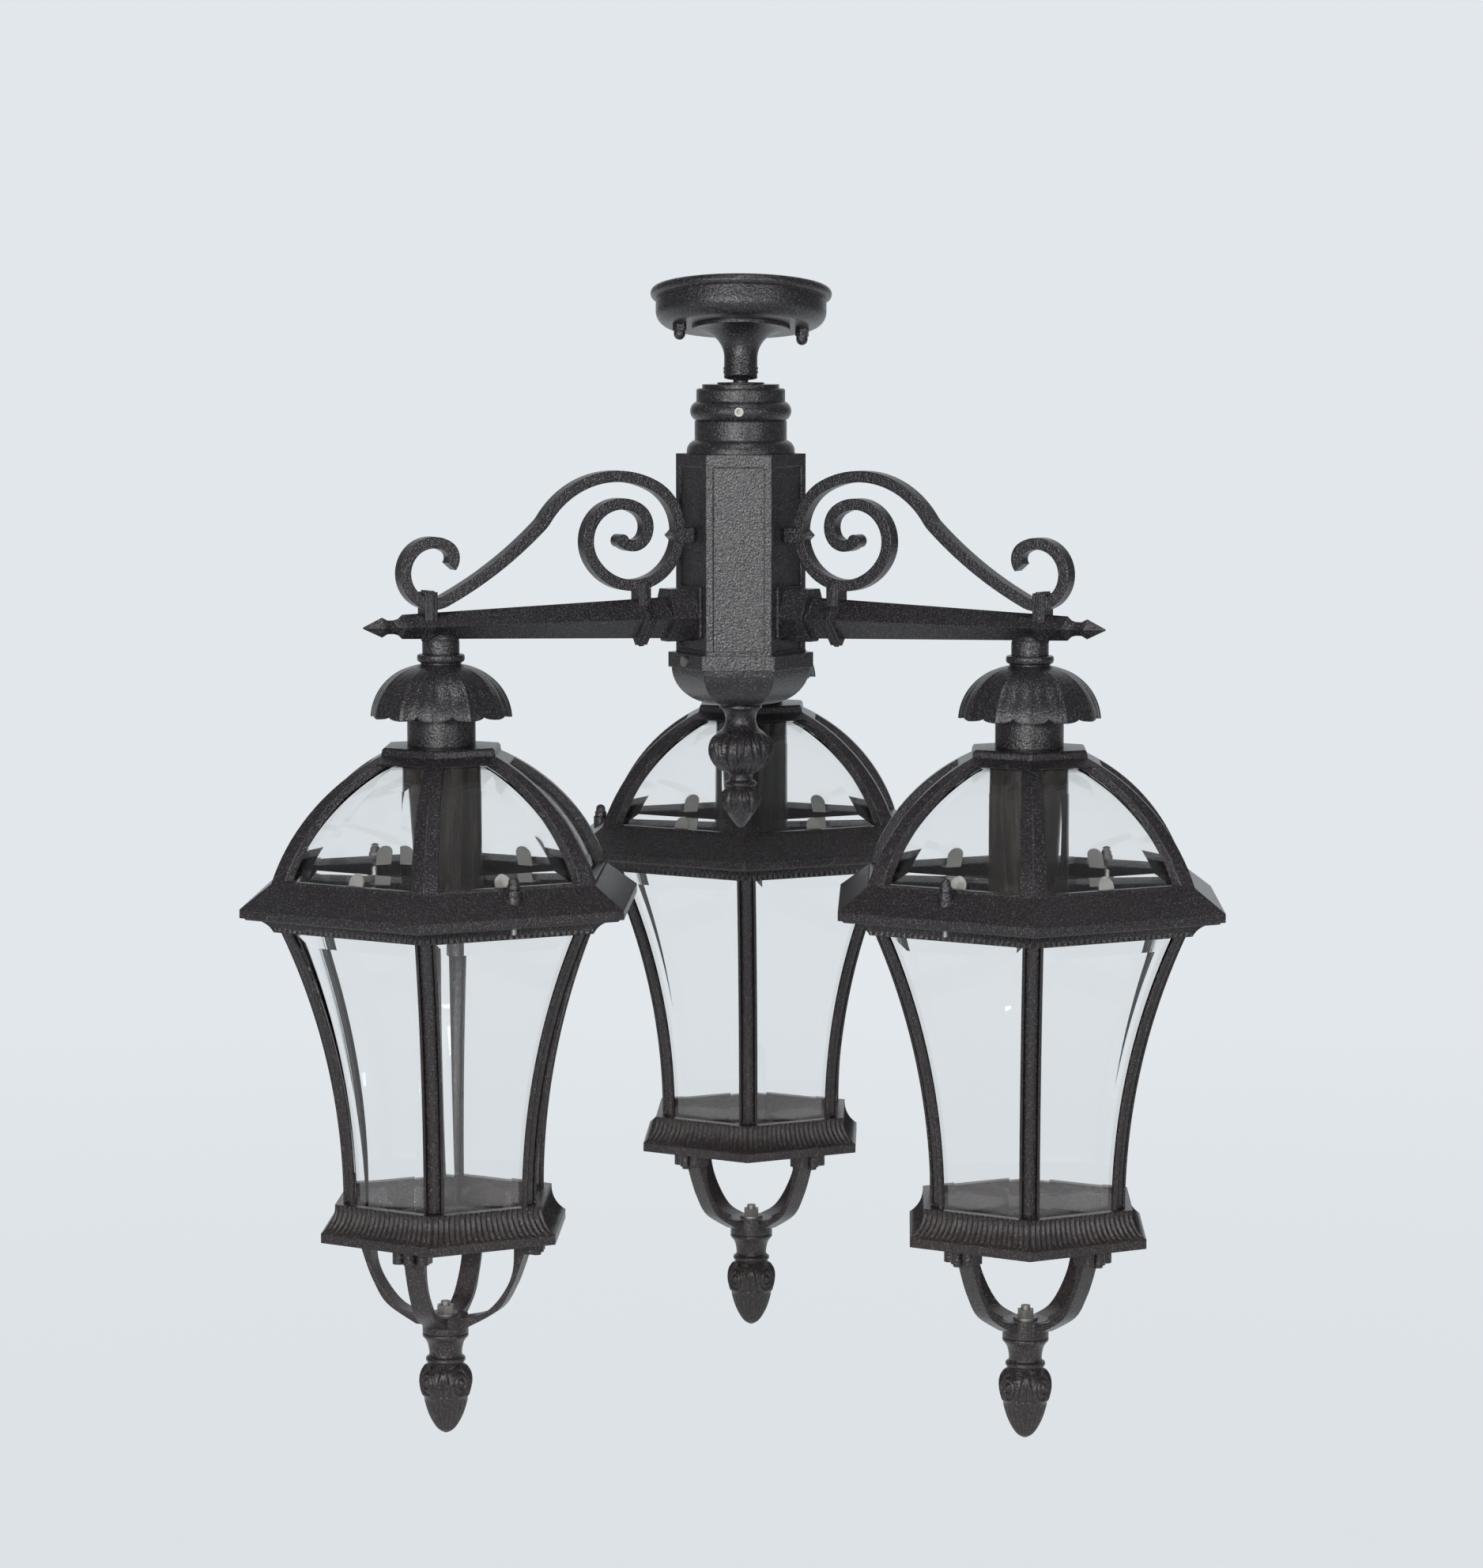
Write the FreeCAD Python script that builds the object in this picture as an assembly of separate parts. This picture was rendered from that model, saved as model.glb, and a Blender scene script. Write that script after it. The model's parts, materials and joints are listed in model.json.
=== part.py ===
import FreeCAD, Part
import math
import os

os.makedirs("parts", exist_ok=True)

# All sizes are millimetres. Heights run down from the ceiling face at z = 0.

# Fits shared by several pieces
running_gap = 0.3
thread_gap = 0.1
pin_gap = 0.05

# Canopy and the bracket inside it
canopy_tilt = 10.0
canopy_rim_radius = 60.0
canopy_rim_height = 6.5
canopy_wall_radius = 56.5
canopy_depth = 25.0
canopy_corner_radius = 10.0
canopy_sheet = 2.0
bracket_length = 104.0
bracket_width = 20.0
bracket_thickness = 2.5
bracket_wire_hole_radius = 5.5
ceiling_screw_radius = 26.0
ceiling_screw_hole_radius = 2.75
canopy_stud_circle = 41.5
canopy_stud_turn = 15.0
canopy_stud_radius = 2.5
canopy_stud_collar_radius = 4.5
canopy_stud_collar_height = 1.5
canopy_nut_flats = 8.0
canopy_nut_height = 4.5
canopy_nut_dome = 6.0

# Trumpet stem and the knuckle that lets the fixture hang plumb
stem_flange_radius = 32.5
stem_flange_height = 2.5
stem_mouth_radius = 27.5
stem_neck_radius = 11.0
stem_length = 34.0
stem_throat_height = 18.5
stem_spigot_radius = 6.5
stem_spigot_rise = 9.0
stem_wire_radius = 4.5
stem_washer_radius = 14.0
stem_washer_height = 1.5
locknut_flats = 17.0
locknut_height = 5.0
pin_radius = 2.0
pin_above_neck_end = 5.0
ball_radius = 8.2
swivel_shank_radius = 5.0
swivel_shank_below_washer = 17.0
pin_to_washer = 8.0
swivel_washer_radius = 15.5
swivel_washer_height = 1.3

# Turned cap on the column
cap_plate_radius = 25.5
cap_plate_height = 2.7
cap_upper_radius = 29.4
cap_upper_height = 8.4
cap_bead_radius = 33.5
cap_bead_height = 12.9
cap_waist_radius = 30.5
cap_waist_height = 12.6
cap_foot_radius = 35.8
cap_flare_height = 8.9
cap_bore_radius = 26.0
cap_top_thickness = 6.0
set_screw_radius = 3.0
set_screw_socket = 1.6

# Six sided column
column_apothem = 37.2
column_wall = 4.0
column_shown_height = 131.5
column_tail = 9.4
column_spigot_height = 30.0
column_spigot_wall = 4.0
column_top_thickness = 4.0
panel_side_border = 4.7
panel_top_border = 8.3
panel_foot_border = 2.4
panel_depth = 1.2
terminal_length = 30.0
terminal_width = 14.0
terminal_height = 13.0

# Collar, bowl and centre finial
collar_apothem = 41.7
collar_height = 9.9
bowl_apothem = 39.8
bowl_height = 24.6
bowl_floor_apothem = 17.0
bowl_wall = 4.0
bowl_screw_radius = 2.0
bowl_screw_head_radius = 3.5
bowl_screw_head_height = 1.8
finial_stud_radius = 5.0

# Arms and scrolls
arm_drop = 107.0
arm_root_half = 14.2
arm_end_half = 7.8
arm_end_radius = 245.0
arm_tip_radius = 272.0
lantern_circle = 218.0
root_block_end = 57.0
root_block_half = 16.0
root_top_half = 7.0
root_top_rise = 19.0
root_foot_half = 5.0
root_foot_drop = 15.5
root_flange_width = 32.0
root_flange_height = 33.0
root_flange_thickness = 3.0
root_flange_rise = 20.0
boss_radius = 12.0
boss_drop = 18.3
boss_shoulder = 7.5
scroll_bar = 7.4
scroll_thickness = 9.0
scroll_start_offset = 6.1
scroll_start_rise = 37.9
scroll_start_heading = 130.3
scroll_knob_swell = 0.6
collar_rise = 49.0
collar_depth = 10.0
collar_length = 11.5
collar_nub = 5.0
collar_swell = 1.8
strap_length = 8.7
strap_swell = 1.4
strap_band_swell = 2.3
strap_band_share = 0.4
strap_tip = 3.0
inner_strap_radius = 74.0
inner_strap_rise = 22.5
outer_strap_offset = 9.0
outer_strap_rise = 20.5
arm_bolt_radius = 3.0
arm_bolt_head_flats = 10.0
arm_bolt_head_height = 4.0
arm_bolt_grip = 16.0
arm_bolt_spacing = 18.0

# Petal cap, neck and the threaded pipe each lantern hangs on
petal_ring_radius = 15.3
petal_ring_height = 6.5
petal_radius = 44.5
petal_height = 33.7
petal_count = 12
petal_wall = 2.6
petal_crown = 10.5
petal_scallop = 3.0
petal_rib_height = 0.9
petal_rib_width = 1.4
neck_radius = 22.0
neck_wall = 2.0
neck_shown = 18.5
pipe_radius = 5.0
pipe_top_in_boss = 9.0
pipe_below_roof = 22.0

# Lantern roof
roof_plate_apothem = 36.0
roof_plate_height = 5.0
roof_plate_thickness = 9.0
dome_radius = 131.0
dome_centre = -22.3
dome_centre_drop = 117.0
dome_height = 78.0
dome_wall = 5.0
dome_rib_top = 6.2
dome_rib_foot = 10.2
skirt_apothem = 121.6
skirt_height = 15.0
fascia_height = 5.5
fascia_wall = 5.0
stud_boss_radius = 5.0
stud_boss_circle = 108.0
stud_boss_rise = 21.5
roof_stud_radius = 2.0
roof_nut_flats = 7.0
roof_nut_height = 3.5
roof_nut_dome = 5.0

# Lantern body
rim_apothem = 119.0
rim_height = 10.5
body_top_apothem = 101.0
body_foot_apothem = 65.0
body_height = 179.0
body_radius = 461.0
rib_leg = 7.5
rib_wall = 5.0
glass_thickness = 4.0
glass_gap = 0.4
glass_under_frame = 4.0
body_pane_lap = 3.0
dome_pane_lap = 3.0
dome_pane_top_gap = 3.0
base_top_apothem = 66.8
base_apothem = 75.4
base_slope_height = 18.0
base_fascia_height = 6.0
base_floor = 6.0
base_hole_radius = 50.0
clip_width = 11.0
clip_height = 12.0
clip_thickness = 1.2

# Lamp holder
sleeve_radius = 25.0
sleeve_wall = 1.5
sleeve_length = 86.0
holder_radius = 20.0
holder_bore_radius = 13.3
holder_length = 50.0
holder_bore_depth = 40.0
holder_neck_radius = 9.0
holder_neck_length = 15.0

# Yoke and lantern finial
yoke_turn_left = 75.0
yoke_turn_right = 45.0
yoke_turn_rear = 45.0
yoke_drop = 53.0
yoke_pad_radius = 68.0
yoke_pad_inner = 53.0
yoke_pad_height = 10.0
yoke_pad_width = 24.0
yoke_strap_width = 12.6
yoke_hub_radius = 15.0
yoke_hub_height = 10.0
yoke_screw_radius = 2.0
yoke_screw_head_radius = 3.2
yoke_screw_head_height = 2.0
yoke_screw_circle = 63.0
yoke_screw_depth = 4.5
finial_bolt_radius = 3.0
finial_bolt_rise = 9.0
finial_nut_flats = 10.0
finial_nut_height = 5.0
finial_washer_radius = 8.0
finial_washer_height = 1.4
finial_bolt_depth = 16.0

# Heights and places worked out from the sizes above
pin_to_ceiling = canopy_depth + stem_length - pin_above_neck_end
tilt = math.radians(canopy_tilt)
pin_z = -pin_to_ceiling * math.cos(tilt)
hang_y = -pin_to_ceiling * math.sin(tilt)
washer_top = pin_z - pin_to_washer
cap_top = washer_top - swivel_washer_height
bead_top = cap_top - cap_plate_height - cap_upper_height
bead_bottom = bead_top - cap_bead_height
column_top = bead_bottom - cap_waist_height - cap_flare_height
collar_top = column_top - column_shown_height
collar_bottom = collar_top - collar_height
bowl_bottom = collar_bottom - bowl_height
arm_z = column_top - arm_drop
boss_bottom = arm_z - boss_drop
petal_top = boss_bottom - petal_ring_height
petal_bottom = petal_top - petal_height
roof_top = petal_bottom - neck_shown
roof_under = roof_top - roof_plate_thickness
dome_top = roof_top - roof_plate_height
dome_bottom = dome_top - dome_height
skirt_bottom = dome_bottom - skirt_height
fascia_bottom = skirt_bottom - fascia_height
rim_bottom = fascia_bottom - rim_height
body_pane_top = rim_bottom + body_pane_lap
body_bottom = rim_bottom - body_height
base_slope_bottom = body_bottom - base_slope_height
base_bottom = base_slope_bottom - base_fascia_height
base_floor_top = base_bottom + base_floor
hub_bottom = base_bottom - yoke_drop
arm_face = column_apothem - panel_depth
outer_strap_radius = lantern_circle + outer_strap_offset
scroll_start_radius = lantern_circle - scroll_start_offset
arm_angles = {"left": 210.0, "right": 330.0, "rear": 90.0}
yoke_turns = {"left": yoke_turn_left, "right": yoke_turn_right, "rear": yoke_turn_rear}


# Small helpers
def vec(x, y, z):
    return FreeCAD.Vector(x, y, z)


origin = vec(0, 0, 0)
up = vec(0, 0, 1)
along_x = vec(1, 0, 0)


def segments(steps):
    """Turn points into line, arc and smooth pieces.

    Two numbers give a line's end, four an arc's middle and end, and a list a curve through its points.
    """
    pieces = []
    here = steps[0]
    for step in steps[1:]:
        if isinstance(step, list):
            pieces.append((here, step[:-1], step[-1]))
        elif len(step) == 4:
            pieces.append((here, step[:2], step[2:]))
        else:
            pieces.append((here, None, step))
        here = pieces[-1][2]
    return pieces


def mirrored(pieces):
    """The same pieces walked back on the other side of the axis."""
    flip = lambda p: (-p[0], p[1]) if p else None
    return [(flip(end), flip(mid), flip(start)) for start, mid, end in reversed(pieces)]


def face_of(pieces, place):
    edges = []
    for start, mid, end in pieces:
        if mid is None:
            edges.append(Part.makeLine(place(start), place(end)))
        elif isinstance(mid, list):
            curve = Part.BSplineCurve()
            curve.interpolate([place(p) for p in [start] + mid + [end]])
            edges.append(curve.toShape())
        else:
            edges.append(Part.Arc(place(start), place(mid), place(end)).toShape())
    return Part.Face(Part.Wire(edges))


def closed(steps):
    """Pieces of an outline, with a last line home if the steps stop short."""
    if steps[-1][-2:] == steps[0]:
        return segments(steps)
    return segments(list(steps) + [steps[0]])


def upright(p):
    return vec(p[0], 0, p[1])


def crosswise(p):
    return vec(0, p[0], p[1])


def level(p):
    return vec(p[0], p[1], 0)


def turned(steps):
    """Solid of revolution from a closed radius and height outline."""
    return face_of(closed(steps), upright).revolve(origin, up, 360)


def disc(radius, low, high, x=0.0, y=0.0):
    return Part.makeCylinder(radius, high - low, vec(x, y, low))


def tube(outer, inner, low, high):
    return disc(outer, low, high).cut(disc(inner, low - 1, high + 1))


def rod(radius, start, end, height, angle=0.0):
    """Cylinder lying along a radius, from one distance to another."""
    bar = Part.makeCylinder(radius, end - start, vec(start, 0, height), along_x)
    return spin(bar, angle)


def spin(shape, angle):
    copy = shape.copy()
    copy.rotate(origin, up, angle)
    return copy


def moved(shape, x, y, z):
    copy = shape.copy()
    copy.translate(vec(x, y, z))
    return copy


def hex_bar(flats, low, high, x=0.0, y=0.0):
    corner = flats / 2 / math.cos(math.radians(30))
    points = [vec(x + corner * math.cos(math.radians(a)), y + corner * math.sin(math.radians(a)), low)
              for a in range(0, 361, 60)]
    return Part.Face(Part.makePolygon(points)).extrude(vec(0, 0, high - low))


def hex_solid(steps, face_angle):
    """Six sided solid whose half width across flats follows the given outline."""
    pieces = segments(steps)
    outline = face_of(pieces + mirrored(pieces), upright)
    reach = 2 * max(max(p[2][0], p[0][0]) for p in pieces)
    slab = moved(outline, 0, -reach, 0).extrude(vec(0, 2 * reach, 0))
    solid = spin(slab, face_angle)
    for turn in (60, 120):
        solid = solid.common(spin(slab, face_angle + turn))
    return solid


def wedge(near, near_half, far, far_half, low, high, angle):
    """Upright block between two distances, for cutting one face's window."""
    corners = [(near, -near_half), (far, -far_half), (far, far_half), (near, near_half)]
    block = moved(face_of(closed(corners), level), 0, 0, low).extrude(vec(0, 0, high - low))
    return spin(block, angle)


def fused(shapes):
    first = shapes[0]
    return first.multiFuse(shapes[1:]).removeSplitter()


def group(shapes):
    return Part.makeCompound(shapes)


def cap_nut(flats, hex_height, dome_height, bore, top, x, y, downward):
    """Closed nut: a hexagon with a rounded dome, bored for its stud."""
    ball = flats / 2 - 0.2
    straight = max(dome_height - ball, 0.2)
    shape = hex_bar(flats, 0, hex_height).fuse(disc(ball, hex_height, hex_height + straight))
    dome = Part.makeSphere(ball, vec(0, 0, hex_height + straight))
    shape = shape.fuse(dome.common(disc(flats, hex_height, hex_height + dome_height + flats)))
    shape = shape.removeSplitter().cut(disc(bore, -1, hex_height + straight))
    if downward:
        shape.rotate(origin, along_x, 180)
    return moved(shape, x, y, top)


# Placing and saving
def on_canopy(shape):
    copy = shape.copy()
    copy.rotate(origin, along_x, -canopy_tilt)
    return copy


def hung(shape):
    return moved(shape, 0, hang_y, 0)


def on_arm(shape, side):
    return hung(spin(shape, arm_angles[side]))


def at_lantern(shape, side):
    return on_arm(moved(shape, lantern_circle, 0, 0), side)


def save(shape, name):
    shape.exportStep("parts/" + name + ".step")


# Canopy pieces, drawn level and then tilted
def canopy_dish():
    wall = canopy_wall_radius
    turn = canopy_corner_radius
    inner_turn = turn - canopy_sheet
    inner = wall - canopy_sheet
    knee = math.sqrt(0.5)
    shoulder = canopy_depth - turn
    hole = stem_spigot_radius + running_gap
    steps = [(inner, 0), (canopy_rim_radius - 2.0, 0)]
    steps += [(canopy_rim_radius, -canopy_rim_height / 2, canopy_rim_radius - 2.0, -canopy_rim_height)]
    steps += [(wall, -canopy_rim_height), (wall, -shoulder)]
    steps += [(wall - turn + turn * knee, -shoulder - turn * knee, wall - turn, -canopy_depth)]
    steps += [(hole, -canopy_depth), (hole, -canopy_depth + canopy_sheet)]
    steps += [(wall - turn, -canopy_depth + canopy_sheet)]
    steps += [(wall - turn + inner_turn * knee, -shoulder - inner_turn * knee, inner, -shoulder)]
    dish = turned(steps)
    for angle in stud_angles():
        dish = dish.cut(upright_at(canopy_stud_radius + running_gap, angle, -canopy_depth - 1, 0))
    return dish


def stud_angles():
    return (canopy_stud_turn, canopy_stud_turn + 180)


def upright_at(radius, angle, low, high, circle=None):
    circle = canopy_stud_circle if circle is None else circle
    return spin(disc(radius, low, high, circle), angle)


def ceiling_bracket():
    strap = Part.makeBox(bracket_length, bracket_width, bracket_thickness,
                         vec(-bracket_length / 2, -bracket_width / 2, -bracket_thickness))
    strap = spin(strap, canopy_stud_turn)
    strap = strap.cut(disc(bracket_wire_hole_radius, -bracket_thickness - 1, 1))
    for angle in stud_angles():
        strap = strap.cut(upright_at(canopy_stud_radius + thread_gap, angle, -bracket_thickness - 1, 1))
        hole = upright_at(ceiling_screw_hole_radius, angle, -bracket_thickness - 1, 1, ceiling_screw_radius)
        strap = strap.cut(hole)
    return strap


def bracket_studs():
    studs = []
    collar_top_z = -bracket_thickness
    for angle in stud_angles():
        stud = upright_at(canopy_stud_radius, angle, -canopy_depth - canopy_nut_height - 1, -0.3)
        collar_low = collar_top_z - canopy_stud_collar_height
        collar = upright_at(canopy_stud_collar_radius, angle, collar_low, collar_top_z)
        studs.append(stud.fuse(collar).removeSplitter())
    return group(studs)


def canopy_cap_nuts():
    nut = cap_nut(canopy_nut_flats, canopy_nut_height, canopy_nut_dome,
                  canopy_stud_radius + thread_gap, -canopy_depth, canopy_stud_circle, 0, True)
    return group([spin(nut, angle) for angle in stud_angles()])


def stem_pin_height():
    return -canopy_depth - stem_length + pin_above_neck_end


def trumpet_stem():
    top = -canopy_depth
    end = top - stem_length
    lip = top - stem_flange_height
    throat = lip - stem_throat_height
    drop = lip - throat
    step = stem_mouth_radius - stem_neck_radius
    sweep = (step * step + drop * drop) / (2 * step)
    centre = stem_neck_radius + sweep
    middle = math.pi - 0.5 * math.atan2(drop, centre - stem_mouth_radius)
    pocket = ball_radius + running_gap
    pocket_top = stem_pin_height() + pocket
    steps = [(stem_wire_radius, top + stem_spigot_rise), (stem_spigot_radius, top + stem_spigot_rise)]
    steps += [(stem_spigot_radius, top), (stem_flange_radius, top), (stem_flange_radius, lip)]
    steps += [(stem_mouth_radius, lip)]
    sweep_middle = (centre + sweep * math.cos(middle), throat + sweep * math.sin(middle))
    steps += [sweep_middle + (stem_neck_radius, throat)]
    steps += [(stem_neck_radius, end), (pocket, end), (pocket, pocket_top), (stem_wire_radius, pocket_top)]
    stem = turned(steps)
    return stem.cut(cross_pin(pin_radius + pin_gap, stem_neck_radius + 2, stem_pin_height()))


def cross_pin(radius, half_length, height):
    return Part.makeCylinder(radius, 2 * half_length, vec(-half_length, 0, height), along_x)


def stem_washer():
    low = -canopy_depth + canopy_sheet
    return tube(stem_washer_radius, stem_spigot_radius + thread_gap, low, low + stem_washer_height)


def stem_locknut():
    low = -canopy_depth + canopy_sheet + stem_washer_height
    nut = hex_bar(locknut_flats, low, low + locknut_height)
    return nut.cut(disc(stem_spigot_radius + thread_gap, low - 1, low + locknut_height + 1))


def swivel_pin():
    return cross_pin(pin_radius, stem_neck_radius + 0.4, stem_pin_height())


# Knuckle, cap and column, hung from the pin
def swivel_stud():
    low = washer_top - swivel_shank_below_washer
    shank = disc(swivel_shank_radius, low, pin_z - 4)
    ball = Part.makeSphere(ball_radius, vec(0, 0, pin_z))
    return ball.fuse(shank).removeSplitter().cut(cross_pin(pin_radius + pin_gap, ball_radius + 2, pin_z))


def swivel_washer():
    return tube(swivel_washer_radius, swivel_shank_radius + thread_gap, cap_top, washer_top)


def locknut_at(top):
    nut = hex_bar(locknut_flats, top - locknut_height, top)
    return nut.cut(disc(swivel_shank_radius + thread_gap, top - locknut_height - 1, top + 1))


def column_cap():
    plate_bottom = cap_top - cap_plate_height
    bead_middle = (bead_top + bead_bottom) / 2
    waist_bottom = bead_bottom - cap_waist_height
    hole = swivel_shank_radius + thread_gap
    ceiling = cap_top - cap_top_thickness
    half = cap_bead_height / 2
    bead_core = cap_bead_radius - half * 0.7
    steps = [(hole, cap_top), (cap_plate_radius, cap_top), (cap_plate_radius, plate_bottom)]
    steps += [(cap_upper_radius - 1, plate_bottom), (cap_upper_radius, plate_bottom - 1)]
    steps += [(cap_upper_radius, bead_top), (bead_core, bead_top)]
    steps += [(cap_bead_radius, bead_middle, bead_core, bead_bottom)]
    steps += [(cap_waist_radius, bead_bottom), (cap_waist_radius, waist_bottom)]
    steps += [(cap_waist_radius + 4.2, waist_bottom - 3.4, cap_foot_radius, column_top + 1.5)]
    steps += [(cap_foot_radius, column_top), (cap_bore_radius, column_top)]
    steps += [(cap_bore_radius, ceiling), (hole, ceiling)]
    cap = turned(steps)
    for angle in set_screw_angles():
        inner = cap_bore_radius - 2
        cap = cap.cut(rod(set_screw_radius + thread_gap, inner, cap_bead_radius + 3, bead_middle, angle))
    return cap


def set_screw_angles():
    return (270.0, 30.0, 150.0)


def cap_set_screws():
    middle = (bead_top + bead_bottom) / 2
    inner = cap_bore_radius - running_gap
    screws = []
    for angle in set_screw_angles():
        screw = rod(set_screw_radius, inner, cap_bead_radius + 0.6, middle)
        screw = screw.cut(rod(set_screw_socket, cap_bead_radius - 2, cap_bead_radius + 2, middle))
        screws.append(spin(screw, angle))
    return group(screws)


def hex_column():
    foot = collar_top - column_tail
    inner = column_apothem - column_wall
    shell = hex_solid([(0, column_top), (column_apothem, column_top), (column_apothem, foot), (0, foot)], 30)
    ceiling = column_top - column_top_thickness
    shell = shell.cut(hex_solid([(0, ceiling), (inner, ceiling), (inner, foot - 1), (0, foot - 1)], 30))
    spigot = cap_bore_radius - running_gap
    spigot_ring = tube(spigot, spigot - column_spigot_wall, column_top - 1, column_top + column_spigot_height)
    shell = shell.fuse(spigot_ring).removeSplitter()
    shell = shell.cut(disc(spigot - column_spigot_wall, ceiling - 1, column_top + 1))
    side = column_apothem * math.tan(math.radians(30)) - panel_side_border
    panel = wedge(arm_face, side, column_apothem + 2, side,
                  collar_top + panel_foot_border, column_top - panel_top_border, 0)
    for angle in range(30, 390, 60):
        shell = shell.cut(spin(panel, angle))
    for angle in arm_angles.values():
        for height in arm_bolt_heights():
            shell = shell.cut(rod(arm_bolt_radius + running_gap, inner - 2, column_apothem, height, angle))
    for angle in bowl_screw_angles():
        middle = (collar_top + collar_bottom) / 2
        shell = shell.cut(rod(bowl_screw_radius + thread_gap, inner - 2, column_apothem + 1, middle, angle))
    return shell


def terminal_block():
    top = column_top - column_top_thickness
    back = -column_apothem + column_wall
    return Part.makeBox(terminal_length, terminal_width, terminal_height,
                        vec(-terminal_length / 2, back, top - terminal_height))


def bowl_screw_angles():
    return (210.0, 30.0)


def column_bowl():
    seat = column_apothem + running_gap
    foot = collar_top - column_tail
    floor = bowl_bottom + bowl_wall
    knee_apothem = bowl_floor_apothem + 0.76 * (bowl_apothem - bowl_floor_apothem)
    knee = (knee_apothem, collar_bottom - 0.62 * bowl_height)
    inner_knee = (knee[0] - bowl_wall, knee[1] + 0.4 * bowl_wall)
    outer = [(0, collar_top), (collar_apothem, collar_top), (collar_apothem, collar_bottom)]
    outer += [(bowl_apothem, collar_bottom), knee + (bowl_floor_apothem, bowl_bottom), (0, bowl_bottom)]
    bowl = hex_solid(outer, 30)
    inner = [(0, foot), (bowl_apothem - bowl_wall, foot), (bowl_apothem - bowl_wall, collar_bottom)]
    inner += [inner_knee + (bowl_floor_apothem - bowl_wall, floor), (0, floor)]
    bowl = bowl.cut(hex_solid(inner, 30))
    bowl = bowl.cut(hex_solid([(0, collar_top + 1), (seat, collar_top + 1), (seat, foot), (0, foot)], 30))
    bowl = bowl.cut(disc(finial_stud_radius + running_gap, bowl_bottom - 1, floor + 1))
    middle = (collar_top + collar_bottom) / 2
    for angle in bowl_screw_angles():
        bowl = bowl.cut(rod(bowl_screw_radius + running_gap, seat - 3, collar_apothem + 1, middle, angle))
    return bowl


def bowl_screws():
    middle = (collar_top + collar_bottom) / 2
    screws = []
    for angle in bowl_screw_angles():
        shank = rod(bowl_screw_radius, column_apothem - column_wall, collar_apothem + 0.5, middle)
        head = rod(bowl_screw_head_radius, collar_apothem, collar_apothem + bowl_screw_head_height, middle)
        screws.append(spin(shank.fuse(head).removeSplitter(), angle))
    return group(screws)


def centre_finial():
    top = bowl_bottom
    steps = [(0, top), (14, top), (14, top - 3), [(10.6, top - 6.5), (10, top - 13), (16, top - 19.5)]]
    steps += [(17.5, top - 21.5), [(21, top - 28), (20.6, top - 36), (15.5, top - 42.5), (8, top - 46.5)]]
    steps += [(8, top - 51), [(10.2, top - 52), (10.6, top - 53.5), (10.2, top - 55), (8, top - 56)]]
    steps += [[(12, top - 60), (13, top - 64.5), (11, top - 70.5), (6.5, top - 76.5), (0.8, top - 83.2)]]
    steps += [(0, top - 83.2)]
    finial = turned(steps)
    floor = bowl_bottom + bowl_wall
    return finial.fuse(disc(finial_stud_radius, top - 2, floor + locknut_height + 2)).removeSplitter()


# Arms
def diamond(radius, half):
    points = [vec(radius, half, arm_z), vec(radius, 0, arm_z + half), vec(radius, -half, arm_z)]
    points += [vec(radius, 0, arm_z - half), vec(radius, half, arm_z)]
    return Part.makePolygon(points)


def arm_half_at(radius):
    share = (radius - arm_face) / (arm_end_radius - arm_face)
    return arm_root_half + share * (arm_end_half - arm_root_half)


def arm_beam():
    tip = arm_tip_radius
    stations = [(arm_face, arm_root_half), (arm_end_radius, arm_end_half)]
    stations += [(arm_end_radius + 3, 5.2), (tip - 21, 4.4), (tip - 17, 4.4), (tip - 13, 6.4), (tip, 0.5)]
    return Part.makeLoft([diamond(r, h) for r, h in stations], True, True)


def root_block():
    outline = [(root_block_half, 0), (root_top_half, root_top_rise), (-root_top_half, root_top_rise)]
    outline += [(-root_block_half, 0), (-root_foot_half, -root_foot_drop), (root_foot_half, -root_foot_drop)]
    block = moved(face_of(closed(outline), crosswise), arm_face, 0, arm_z)
    block = block.extrude(vec(root_block_end - arm_face, 0, 0))
    corner = vec(arm_face, -root_flange_width / 2, arm_z + root_flange_rise - root_flange_height)
    flange = Part.makeBox(root_flange_thickness, root_flange_width, root_flange_height, corner)
    return block.fuse(flange)


def strap(radius, rise, tip):
    """Cast strap that ties the scroll to the beam, with a raised middle band."""
    pieces = []
    for length, skin in ((strap_length, strap_swell), (strap_length * strap_band_share, strap_band_swell)):
        half = arm_half_at(radius) + skin
        low = half + tip if tip else half
        side = scroll_thickness / 2 + skin
        outline = [(0, -low), (half, 0), (side, half - side), (side, rise + skin)]
        outline += [(-side, rise + skin), (-side, half - side), (-half, 0)]
        block = moved(face_of(closed(outline), crosswise), radius - length / 2, 0, arm_z)
        pieces.append(block.extrude(vec(length, 0, 0)))
    return pieces


def scroll_turns():
    """Radius and turn of each arc of the scroll, walked from its outer end."""
    return [(8.4, -98.0), (19.7, -238.0), (270.0, -17.6), (19.7, -13.0), (61.4, 83.3),
            (34.2, 212.6), (24.2, 153.0), (13.8, 82.0), (10.8, 112.0)]


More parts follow.
